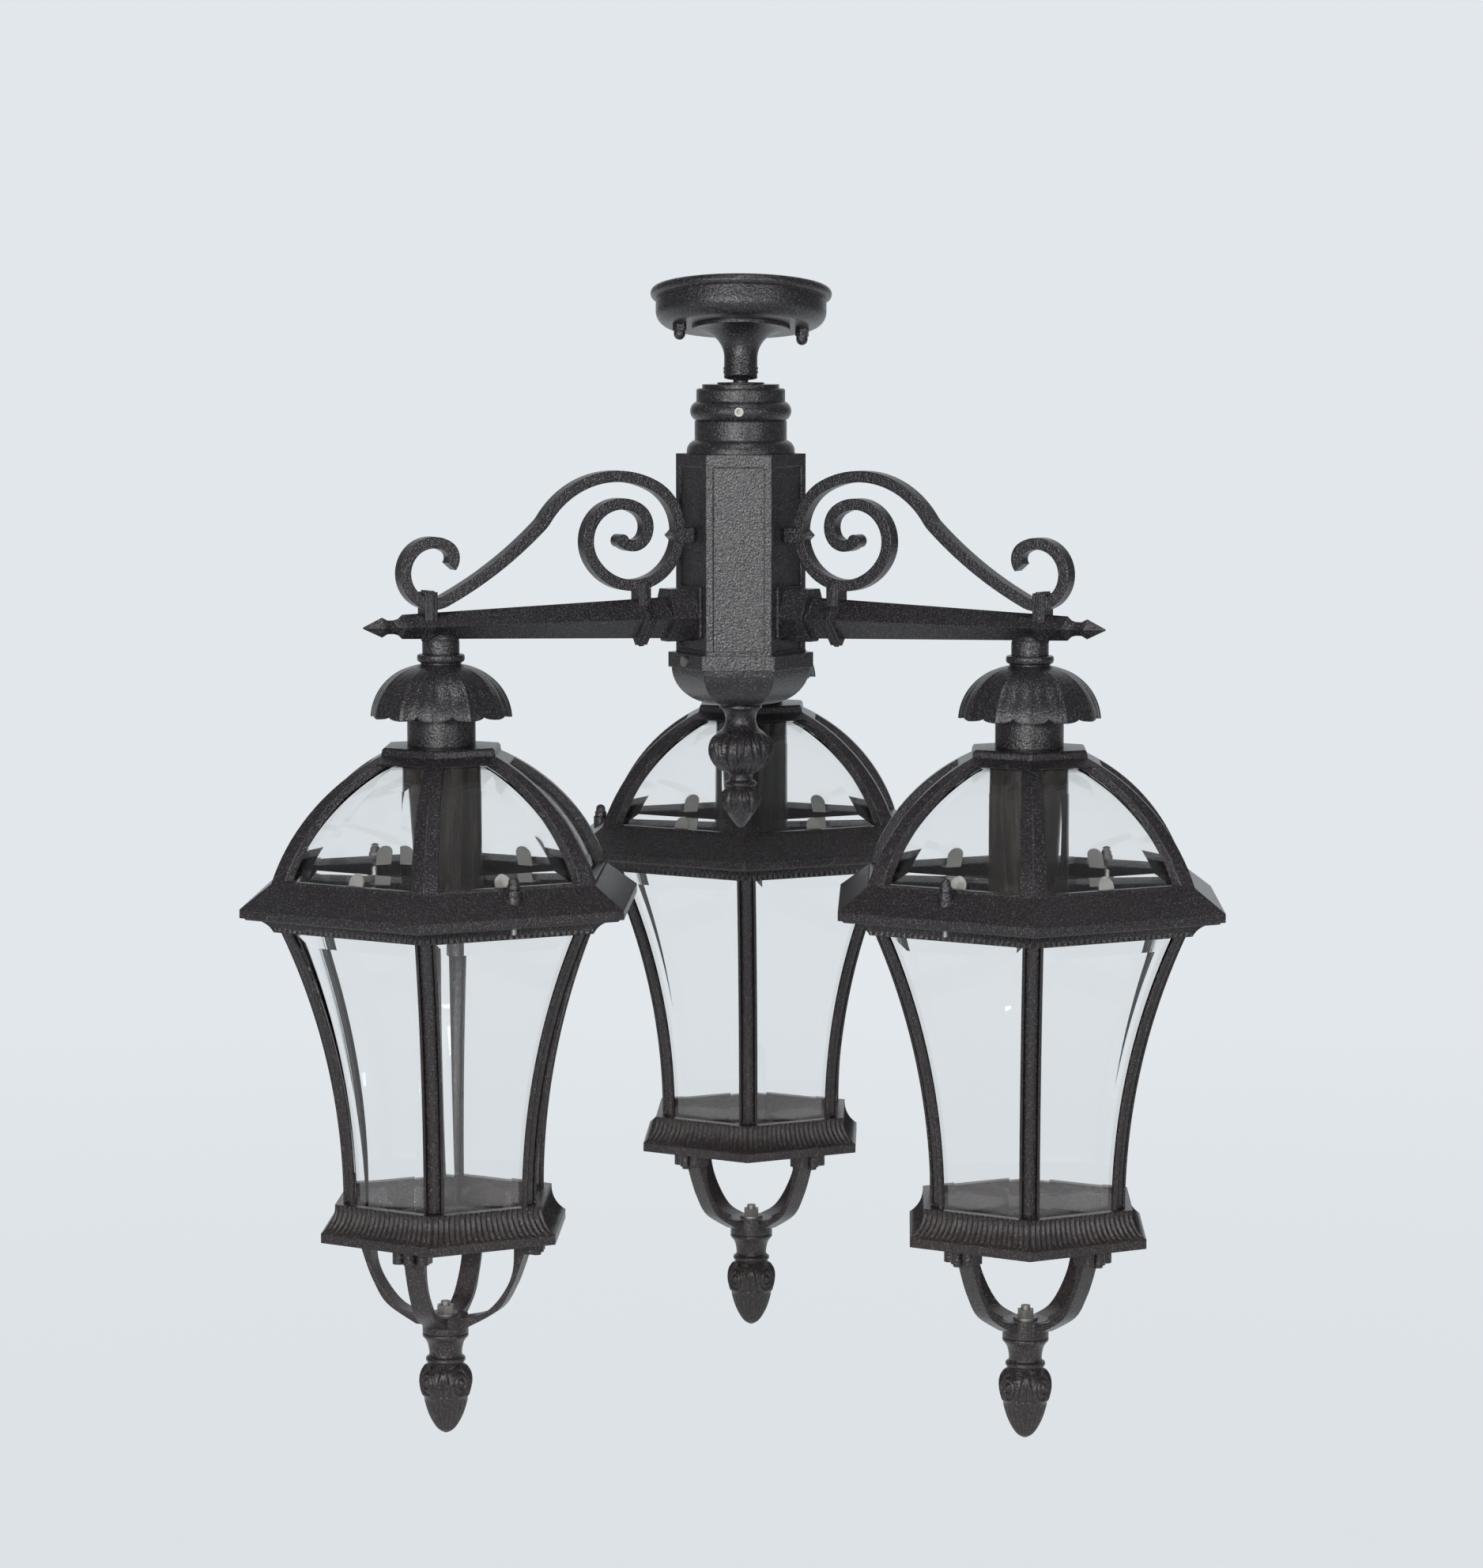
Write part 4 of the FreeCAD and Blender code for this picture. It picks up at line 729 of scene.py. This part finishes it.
def bevelled_slab(sizes, low_half, high_half, low, high, cuts):
    """A flat tapered pane with ground edges, its front towards +X and its back at depth 0. In edit mode."""
    bpy.ops.object.select_all(action="DESELECT")
    bpy.ops.mesh.primitive_plane_add(size=1, location=(0, 0, 0))
    pane = bpy.context.object
    corners = [(0, -low_half, low), (0, low_half, low), (0, -high_half, high), (0, high_half, high)]
    for vertex, corner in zip(pane.data.vertices, corners):
        vertex.co = corner
    open_edit()
    bpy.ops.mesh.normals_make_consistent(inside=False)
    bpy.ops.mesh.select_mode(type="FACE")
    bpy.ops.mesh.select_all(action="SELECT")
    bpy.ops.mesh.inset(thickness=sizes.bevel_width, depth=0)
    bpy.ops.mesh.select_mode(type="VERT")
    bpy.ops.transform.translate(value=(sizes.bevel_depth, 0, 0))
    bpy.ops.mesh.select_all(action="SELECT")
    bpy.ops.mesh.region_to_loop()
    bpy.ops.mesh.extrude_edges_move(TRANSFORM_OT_translate={"value": (sizes.bevel_depth - sizes.glass, 0, 0)})
    bpy.ops.mesh.edge_face_add()
    for height in cuts:
        bpy.ops.mesh.select_all(action="SELECT")
        bpy.ops.mesh.bisect(plane_co=(0, 0, height), plane_no=(0, 0, 1))
    return pane


def bend_pane(pane, sizes, shape, edge, low_half, high_half, low, high):
    """Bend a flat pane to the lantern's curve, keeping the width of its ground edges."""
    skin = sizes.rib_wall + sizes.glass_gap
    spots = spots_of(pane)
    depth = skin + sizes.bevel_depth - spots[:, 0]
    height = np.clip(spots[:, 2], low, high)
    apothem = shape(sizes, height, depth)
    flat_half = low_half + (high_half - low_half) * (height - low) / (high - low)
    true_half = apothem * HEX_SLOPE - edge
    along = spots[:, 1] * true_half / flat_half
    put_spots(pane, np.column_stack((apothem, along, height)))


def glaze(context, shape, edge, span, cuts, name, node):
    """Model one bevelled pane between two heights, bend it and set six of them in each lantern."""
    sizes = context.scene.lantern_sizes
    low, high = span
    skin = sizes.rib_wall + sizes.glass_gap
    low_half = float(shape(sizes, low, skin)) * HEX_SLOPE - edge
    high_half = float(shape(sizes, high, skin)) * HEX_SLOPE - edge
    pane = bevelled_slab(sizes, low_half, high_half, low, high, cuts)
    close_edit()
    bend_pane(pane, sizes, shape, edge, low_half, high_half, low, high)
    open_edit()
    turned_copies(6)
    close_edit()
    shade(pane, 4)
    hang_three(pane, name, node, "clear_glass")


class LANTERN_OT_body_panes(bpy.types.Operator):
    """Model the bent, bevelled panes of each lantern's body"""

    bl_idname = "lantern.body_panes"
    bl_label = "Body panes"

    def execute(self, context):
        sizes = context.scene.lantern_sizes
        cuts = np.linspace(BASE_HIGH, BODY_PANE_HIGH, 20)[:-1]
        span = (BODY_PANE_LOW, BODY_PANE_HIGH)
        glaze(context, body_at, sizes.pane_edge, span, cuts, "bevelled_panes", "body_panes")
        return {"FINISHED"}


class LANTERN_OT_dome_panes(bpy.types.Operator):
    """Model the bent, bevelled panes of each lantern's dome"""

    bl_idname = "lantern.dome_panes"
    bl_label = "Dome panes"

    def execute(self, context):
        sizes = context.scene.lantern_sizes
        centre = ROOF_HIGH - sizes.plate_step - sizes.dome_drop
        radius = sizes.dome_radius - sizes.rib_wall
        first = math.asin((DOME_PANE_LOW - centre) / radius)
        last = math.asin((DOME_PANE_HIGH - centre) / radius)
        cuts = centre + radius * np.sin(np.linspace(first, last, 28)[1:-1])
        span = (DOME_PANE_LOW, DOME_PANE_HIGH)
        glaze(context, dome_at, sizes.dome_edge, span, cuts, "bevelled_dome_panes", "dome_panes")
        return {"FINISHED"}


class LANTERN_OT_petal_caps(bpy.types.Operator):
    """Model the petal cap over each lantern"""

    bl_idname = "lantern.petal_caps"
    bl_label = "Petal caps"

    def execute(self, context):
        sizes = context.scene.lantern_sizes
        ring_low = PETAL_HIGH - sizes.petal_ring_height
        tall = ring_low - PETAL_LOW
        wall = sizes.petal_wall
        ring = sizes.petal_ring
        hole = 0.0052
        ring_neck = 0.0022
        crown_radius, crown_drop = 0.025, 0.0105
        shoulder_out, shoulder_down = 0.8, 0.36
        inner_flare, inner_sink = 0.001, 0.002
        shoulder = (sizes.petal_radius * shoulder_out, ring_low - tall * shoulder_down)
        inner_shoulder = (shoulder[0] - wall * 0.75 + inner_flare, shoulder[1] - wall * 0.8 - inner_sink)
        foot = (sizes.petal_radius, PETAL_LOW)
        inner_foot = (sizes.petal_radius - wall, PETAL_LOW)
        crown = (crown_radius, ring_low - crown_drop)
        # Inset and drop of the points round the ring's edge
        ring_edge = [(0.0012, 0), (0.0003, 0.0004), (0, 0.0014)]
        ring_edge += [(0, 0.0034), (0.0006, 0.0046), (ring_neck, 0.0052)]
        outline = [(hole, PETAL_HIGH)]
        outline += [(ring - inset, PETAL_HIGH - drop) for inset, drop in ring_edge]
        outline += [(ring - ring_neck, ring_low)]
        outline += arc(outline[-1], shoulder, foot, 26)
        outline += [inner_foot] + arc(inner_foot, inner_shoulder, crown, 10)
        outline += [(hole, crown[1]), (hole, PETAL_HIGH)]
        cap = turn_outline(outline, sizes.petals * 16)
        spots = spots_of(cap)
        far = np.hypot(spots[:, 0], spots[:, 1])
        angle = np.arctan2(spots[:, 1], spots[:, 0]) / TURN * sizes.petals
        across = np.abs(angle - np.floor(angle) - 0.5)
        down = np.clip((ring_low - spots[:, 2]) / tall, 0, 1)
        # Only the outer skin is shaped, which lies beyond a line through the middle of the wall
        line_drops = [-ring_low, -shoulder[1], -PETAL_LOW]
        line_radii = [ring - 0.004, shoulder[0] - 0.0012, sizes.petal_radius - 0.0008]
        outside = far > np.interp(-spots[:, 2], line_drops, line_radii)
        outside &= spots[:, 2] < ring_low + TOUCHING
        seam_half = 0.0009
        to_seam = (0.5 - across) * far / sizes.petals * TURN
        seam = sizes.petal_seam * bump_at(to_seam, seam_half) * ease(0.02, 0.12, down)
        swell = sizes.petal_bulge * (0.4 - (1 - 2 * across) ** 2) * ease(0, 0.5, down)
        grow = np.where(outside, seam + swell, 0)
        spots[:, :2] *= (1 + grow / far)[:, None]
        rise = sizes.petal_scallop * (1 - np.sqrt(np.clip(1 - (1 - 2 * across) ** 2, 0, 1)))
        spots[:, 2] += np.where(far > 0.6 * sizes.petal_radius, rise * ease(0.7, 1.0, down), 0)
        put_spots(cap, spots)
        shade(cap, 40)
        hang_three(cap, "lobed_cap", "petal_cap", "black_casting")
        return {"FINISHED"}


def eye_carving(around, down, count):
    """Relief of pointed eyes round a bulb, with a pair of curled leaves between neighbours."""
    sector = around / TURN * count
    across = (sector - np.floor(sector) - 0.5) * 2
    rise = (0.5 - down) * 2
    point = np.abs(across) / 0.62 * (1 + 0.55 * np.clip(rise, 0, 1))
    far = np.hypot(point, rise / 0.98)
    relief = 1.15 * bump_at(far, 0.2) + 0.75 * bump_at(far - 0.5, 0.12) + 0.8 * bump_at(far - 0.88, 0.13)
    leaf = np.abs(across) - 0.78 - 0.1 * np.sin(rise * 2.4)
    relief += 0.7 * bump_at(leaf, 0.07) + 0.5 * bump_at(np.abs(across) - 1.0, 0.06)
    return relief - 0.55


def leaf_carving(around, down, count):
    """Relief of pointed leaves round a ball, each with upright folds inside two curved edges."""
    sector = around / TURN * count
    across = np.abs(sector - np.floor(sector) - 0.5) * 2
    edge = 0.72 * np.sqrt(np.clip(1 - down ** 1.6, 0, 1))
    inside = across - edge
    folds = 0.5 + 0.5 * np.cos(across * 3 * math.pi / 0.8)
    relief = 0.75 * folds * (1 - ease(-0.2, -0.08, inside))
    relief += 0.95 * bump_at(inside, 0.085) + 0.7 * bump_at(inside - 0.26, 0.09)
    relief += 0.5 * bump_at(across - 1, 0.1)
    return relief - 0.5


def carve(piece, zones, depth):
    """Push a turned piece in and out by the relief of each zone between two heights."""
    spots = spots_of(piece)
    far = np.hypot(spots[:, 0], spots[:, 1])
    around = np.arctan2(spots[:, 1], spots[:, 0])
    for high, low, relief in zones:
        down = (high - spots[:, 2]) / (high - low)
        soft = ease(0.0, 0.1, down) * (1 - ease(0.9, 1.0, down))
        grow = np.where(far > 1e-5, depth * relief(around, np.clip(down, 0, 1)) * soft, 0)
        spots[:, :2] *= (1 + grow / np.maximum(far, 1e-5))[:, None]
    put_spots(piece, spots)


class LANTERN_OT_yokes(bpy.types.Operator):
    """Model the four legged yoke under each lantern"""

    bl_idname = "lantern.yokes"
    bl_label = "Yokes"

    def execute(self, context):
        sizes = context.scene.lantern_sizes
        heel_out, toe_in = 0.004, 0.003
        pad_depth, middle_lobe_out, pad_clearance = 0.009, 0.002, 0.0006
        pad = sizes.yoke_pad
        pad_low = BASE_LOW - sizes.yoke_pad_height
        heel = pad + heel_out
        toe = pad - toe_in

        def at(across, down):
            return across * pad, BASE_LOW - down * sizes.yoke_drop

        outer = [(heel, pad_low), at(1.0, 0.33), at(0.9, 0.52), at(0.72, 0.74), at(0.34, 0.92)]
        inner = [at(0.264, 0.835), at(0.558, 0.766), at(0.789, 0.575), at(0.925, 0.339), (toe, BASE_LOW)]
        hub_end = [at(0.1, 0.92), at(0.1, 0.835)]
        outline = [(heel, BASE_LOW)] + smooth(outer, 6) + hub_end + smooth(inner, 6)
        half = sizes.yoke_strap / 2
        yoke = draw_chain([(r, -half, z) for r, z in outline])
        bpy.ops.mesh.select_all(action="SELECT")
        bpy.ops.mesh.edge_face_add()
        bpy.ops.mesh.extrude_region_move(TRANSFORM_OT_translate={"value": (0, 2 * half, 0)})
        lobe = sizes.yoke_pad_width / 6
        reach = pad + pad_depth
        middle = ((pad + reach) / 2, 0, (pad_low + BASE_LOW) / 2)
        block = (reach - pad, sizes.yoke_pad_width - pad_clearance, sizes.yoke_pad_height)
        bpy.ops.mesh.primitive_cube_add(size=1, location=middle, scale=block)
        for out, across in ((0, -2 * lobe), (middle_lobe_out, 0), (0, 2 * lobe)):
            add_disc(lobe, pad_low, BASE_LOW, reach + out, across)
        turned_copies(4)
        low = BASE_LOW - sizes.yoke_drop
        add_disc(sizes.hub_radius, low, low + sizes.hub_height, steps=48)
        close_edit()
        shade(yoke, 40)
        hang_three(yoke, "curved_yoke", "yoke", "black_casting", YOKE_TURNS)
        return {"FINISHED"}


class LANTERN_OT_yoke_fasteners(bpy.types.Operator):
    """Model the screws in each yoke's pads and the bolt, washer and nut in its hub"""

    bl_idname = "lantern.yoke_fasteners"
    bl_label = "Yoke fasteners"

    def execute(self, context):
        sizes = context.scene.lantern_sizes
        screw_radius, screw_height = 0.0032, 0.002
        bolt_radius, bolt_below, bolt_above = 0.003, 0.016, 0.009
        washer_radius, washer_height = 0.008, 0.0014
        nut_radius, nut_height = 0.00577, 0.005
        head = BASE_LOW - sizes.yoke_pad_height
        screws = start_disc(screw_radius, head - screw_height, head, sizes.screw_circle, 24)
        open_edit()
        turned_copies(4)
        close_edit()
        shade(screws, 40)
        coat = finish_for("black_casting")
        hang_joined(screws, "pad_screws", "yoke_screws", "plated_steel", YOKE_TURNS, coat)
        low = BASE_LOW - sizes.yoke_drop
        seat = low + sizes.hub_height
        bolt = start_disc(bolt_radius, low - bolt_below, seat + bolt_above)
        shade(bolt, 40)
        hang_joined(bolt, "hub_bolts", "finial_bolts", "plated_steel")
        nut_low = seat + washer_height
        nut = start_disc(washer_radius, seat, nut_low, steps=40)
        open_edit()
        add_disc(nut_radius, nut_low, nut_low + nut_height, steps=6)
        close_edit()
        shade(nut, 30)
        hang_joined(nut, "hub_nuts", "finial_nuts", "plated_steel")
        return {"FINISHED"}


class LANTERN_OT_finials(bpy.types.Operator):
    """Model the carved finial under each lantern"""

    bl_idname = "lantern.finials"
    bl_label = "Lantern finials"

    def execute(self, context):
        sizes = context.scene.lantern_sizes
        drawn_height = 67
        top = BASE_LOW - sizes.yoke_drop
        mm = (FINIAL_HIGH - FINIAL_LOW) / drawn_height

        def at(radius, drop):
            return radius * 0.001, top - drop * mm

        def eyes(around, down):
            return eye_carving(around, down, 4)

        def reeds(around, down):
            return 0.45 * np.abs(np.cos(around * 11)) - 0.3

        outline = [at(0, 0), at(14.4, 0), at(15, 0.6), at(15, 2.4)]
        outline += smooth([at(14.4, 3), at(12, 6.5), at(10.8, 12), at(10.8, 15.2)], 5)
        outline += smooth([at(11.2, 15.6), at(12.6, 16.6), at(12.9, 17.8), at(12.6, 19), at(11.2, 20)], 4)
        bulb = [at(11.6, 20.6), at(14.2, 23), at(16.4, 27), at(17.2, 32), at(16.7, 37), at(15.4, 41.6)]
        cone = [at(14.4, 42.4), at(13.4, 47), at(11.2, 54), at(8, 60.4), at(4.6, 64.8), at(1.6, 66.8)]
        outline += smooth(bulb, 12) + smooth(cone, 8) + [at(0, drawn_height)]
        finial = turn_outline(outline, 192)
        zones = [(top - 20.6 * mm, top - 42.2 * mm, eyes), (top - 43 * mm, top - 66 * mm, reeds)]
        carve(finial, zones, sizes.carving)
        shade(finial, 50)
        hang_three(finial, "carved_finial", "finial", "black_casting")
        return {"FINISHED"}


class LANTERN_OT_centre_finial(bpy.types.Operator):
    """Model the carved finial under the column"""

    bl_idname = "lantern.centre_finial"
    bl_label = "Centre finial"

    def execute(self, context):
        sizes = context.scene.lantern_sizes
        drawn_height = 83.2
        top = CENTRE_FINIAL_HIGH
        mm = (CENTRE_FINIAL_HIGH - CENTRE_FINIAL_LOW) / drawn_height

        def at(radius, drop):
            return radius * 0.001, top - drop * mm

        def large_leaves(around, down):
            return leaf_carving(around, down, 5)

        def small_leaves(around, down):
            return 0.8 * leaf_carving(around, down, 4)

        outline = [at(0, 0), at(13.4, 0), at(14, 0.6), at(14, 2.6)]
        outline += smooth([at(13, 3.2), at(10.8, 6.5), at(10.2, 12), at(12.2, 16.5), at(15.6, 19.2)], 5)
        ball = [at(16.4, 20.4), at(19.4, 24), at(21, 29), at(20.6, 35), at(17, 41), at(11, 45.4)]
        outline += smooth(ball, 12)
        outline += smooth([at(8.2, 46.6), at(7.8, 48.6), at(8, 51)], 4)
        outline += smooth([at(9.6, 51.6), at(10.6, 53.4), at(9.8, 55.2), at(8.6, 56)], 4)
        outline += smooth([at(9, 56.6), at(11.8, 59.6), at(13, 63.6), at(12, 68.6), at(9.6, 72.6)], 10)
        outline += smooth([at(8.8, 73.4), at(5.6, 78), at(2, 82.4)], 4) + [at(0, drawn_height)]
        finial = turn_outline(outline, 192)
        zones = [(top - 19.6 * mm, top - 46 * mm, large_leaves)]
        zones += [(top - 56 * mm, top - 73.4 * mm, small_leaves)]
        carve(finial, zones, sizes.centre_carving)
        pick(finial)
        finial.location = COLUMN
        settle()
        shade(finial, 50)
        fit_out(finial, "carved_centre_finial", "centre_finial", "black_casting")
        return {"FINISHED"}


def pale_rays(maker):
    """1 for rays that show the backdrop: those from the camera, off gloss and through glass."""
    kinds = ("Is Camera Ray", "Is Glossy Ray", "Is Transmission Ray")
    camera, glossy, through = [maker.add("ShaderNodeLightPath", out=kind) for kind in kinds]
    return maker.maths("MAXIMUM", maker.maths("MAXIMUM", camera, glossy), through)


class LANTERN_OT_stage(bpy.types.Operator):
    """Set the pale floor, the soft lamps and the camera"""

    bl_idname = "lantern.stage"
    bl_label = "Stage"

    def execute(self, context):
        colours = context.scene.lantern_colours
        studio = {"vertices": 96, "radius": 7}
        floor = -1.15
        wall = 10
        middle = (0, 0, floor + wall / 2)
        bpy.ops.object.select_all(action="DESELECT")
        bpy.ops.mesh.primitive_circle_add(fill_type="NGON", location=(0, 0, floor), **studio)
        self.set_out(context.object, "studio_floor", colours)
        bpy.ops.mesh.primitive_cylinder_add(depth=wall, end_fill_type="NOTHING", location=middle, **studio)
        self.open_front()
        self.set_out(context.object, "studio_backdrop", colours)
        self.world(context, colours)
        self.lamp("key_lamp", (-0.4, -3.3, 0.1), 0.45, 48)
        self.lamp("left_lamp", (-1.7, -2.7, 0.3), 0.35, 26)
        self.lamp("right_lamp", (1.8, -2.6, 0.3), 0.35, 22)
        self.lamp("top_lamp", (0.1, -1.2, 2.3), 0.6, 22)
        self.camera(context)
        context.scene.view_settings.view_transform = "Standard"
        return {"FINISHED"}

    def open_front(self):
        """Keep only the part of the round wall that stands behind the object."""
        behind = 5
        settle()
        open_edit()
        bpy.ops.mesh.bisect(plane_co=(0, behind, 0), plane_no=(0, 1, 0), clear_inner=True)
        bpy.ops.object.mode_set(mode="OBJECT")

    def set_out(self, sheet, name, colours):
        """Finish a sheet of the studio."""
        sheet.name = name
        settle()
        sheet.data.materials.append(bpy.data.materials.get("studio_sheet") or self.sheet_finish(colours))

    def sheet_finish(self, colours):
        """Pale matt sheet with the object's shadow, fading to the room's grey at the sides and in front."""
        finish, maker, place = new_finish("studio_sheet")
        sheet = opaque(colours.backdrop)
        matt = maker.add("ShaderNodeBsdfPrincipled", None, {"Base Color": sheet, "Roughness": 0.9})
        glow = maker.add("ShaderNodeEmission", None, {"Color": sheet, "Strength": 1.0})
        grey = maker.add("ShaderNodeEmission", None, {"Color": opaque(colours.room), "Strength": 1.0})
        away = maker.add("ShaderNodeVectorMath", {"operation": "LENGTH"}, {0: place}, out=1)
        fade = between(maker, away, 1.4, 4.5, 0.9, 1.0)
        across = maker.add("ShaderNodeSeparateXYZ", None, {0: place}, out=0)
        along = maker.add("ShaderNodeSeparateXYZ", None, {0: place}, out=1)
        aside = between(maker, maker.maths("ABSOLUTE", across, 0), 2.4, 4.8, curve="SMOOTHSTEP")
        ahead = between(maker, along, -1.8, -6.6, curve="SMOOTHSTEP")
        edge = maker.maths("MAXIMUM", aside, ahead)
        pale = maker.add("ShaderNodeMixShader", None, {0: edge, 1: glow, 2: grey})
        share = pale_rays(maker) * fade
        surface(maker, maker.add("ShaderNodeMixShader", None, {0: share, 1: matt, 2: pale}))
        return finish

    def world(self, context, colours):
        """Fill the room with even grey light."""
        world = bpy.data.worlds.new("studio")
        context.scene.world = world
        world.use_nodes = True
        world.node_tree.nodes.clear()
        maker = Wire(world.node_tree)
        light = maker.add("ShaderNodeBackground", None, {"Color": opaque(colours.room), "Strength": 1.0})
        surface(maker, light, "ShaderNodeOutputWorld")

    def lamp(self, name, place, size, power):
        """Set up a round lamp that faces the middle of the object."""
        bpy.ops.object.light_add(type="AREA", location=place)
        lamp = bpy.context.object
        lamp.name = name
        lamp.data.shape = "DISK"
        lamp.data.size = size
        lamp.data.energy = power
        middle = Vector((0, 0, -0.4))
        aim = middle - Vector(place)
        lamp.rotation_euler = aim.to_track_quat("-Z", "Y").to_euler()

    def camera(self, context):
        """Stand the camera where the photo was taken from, a little tipped down."""
        place = (0.1057, -3.0216, -0.0137)
        tip, swing = 5.95, 2.0
        bpy.ops.object.camera_add(location=place)
        camera = context.object
        camera.name = "photo_camera"
        camera.rotation_euler = (math.radians(90 - tip), 0, math.radians(swing))
        camera.data.lens = 104.4
        camera.data.sensor_width = 36
        context.scene.camera = camera


class LANTERN_PT_panel(bpy.types.Panel):
    """Lists the lantern's pieces"""

    bl_idname = "LANTERN_PT_panel"
    bl_label = "Three lantern ceiling light"
    bl_space_type = "VIEW_3D"
    bl_region_type = "UI"
    bl_category = "Lantern"

    def draw(self, context):
        for operator in OPERATORS:
            self.layout.operator(operator.bl_idname)
        for group in (context.scene.lantern_sizes, context.scene.lantern_colours):
            for name in group.bl_rna.properties.keys():
                if name not in ("rna_type", "name"):
                    self.layout.prop(group, name)


OPERATORS = (
    LANTERN_OT_castings,
    LANTERN_OT_rims,
    LANTERN_OT_bases,
    LANTERN_OT_ribs,
    LANTERN_OT_body_panes,
    LANTERN_OT_dome_panes,
    LANTERN_OT_petal_caps,
    LANTERN_OT_yokes,
    LANTERN_OT_yoke_fasteners,
    LANTERN_OT_finials,
    LANTERN_OT_centre_finial,
    LANTERN_OT_stage,
)
CLASSES = (LanternSizes, LanternColours) + OPERATORS + (LANTERN_PT_panel,)


def register():
    for item in CLASSES:
        bpy.utils.register_class(item)
    bpy.types.Scene.lantern_sizes = bpy.props.PointerProperty(type=LanternSizes)
    bpy.types.Scene.lantern_colours = bpy.props.PointerProperty(type=LanternColours)


def unregister():
    del bpy.types.Scene.lantern_colours
    del bpy.types.Scene.lantern_sizes
    for item in reversed(CLASSES):
        bpy.utils.unregister_class(item)


def main():
    register()
    bpy.ops.lantern.castings()
    bpy.ops.lantern.rims()
    bpy.ops.lantern.bases()
    bpy.ops.lantern.ribs()
    bpy.ops.lantern.body_panes()
    bpy.ops.lantern.dome_panes()
    bpy.ops.lantern.petal_caps()
    bpy.ops.lantern.yokes()
    bpy.ops.lantern.yoke_fasteners()
    bpy.ops.lantern.finials()
    bpy.ops.lantern.centre_finial()
    bpy.ops.lantern.stage()


if __name__ == "__main__":
    main()
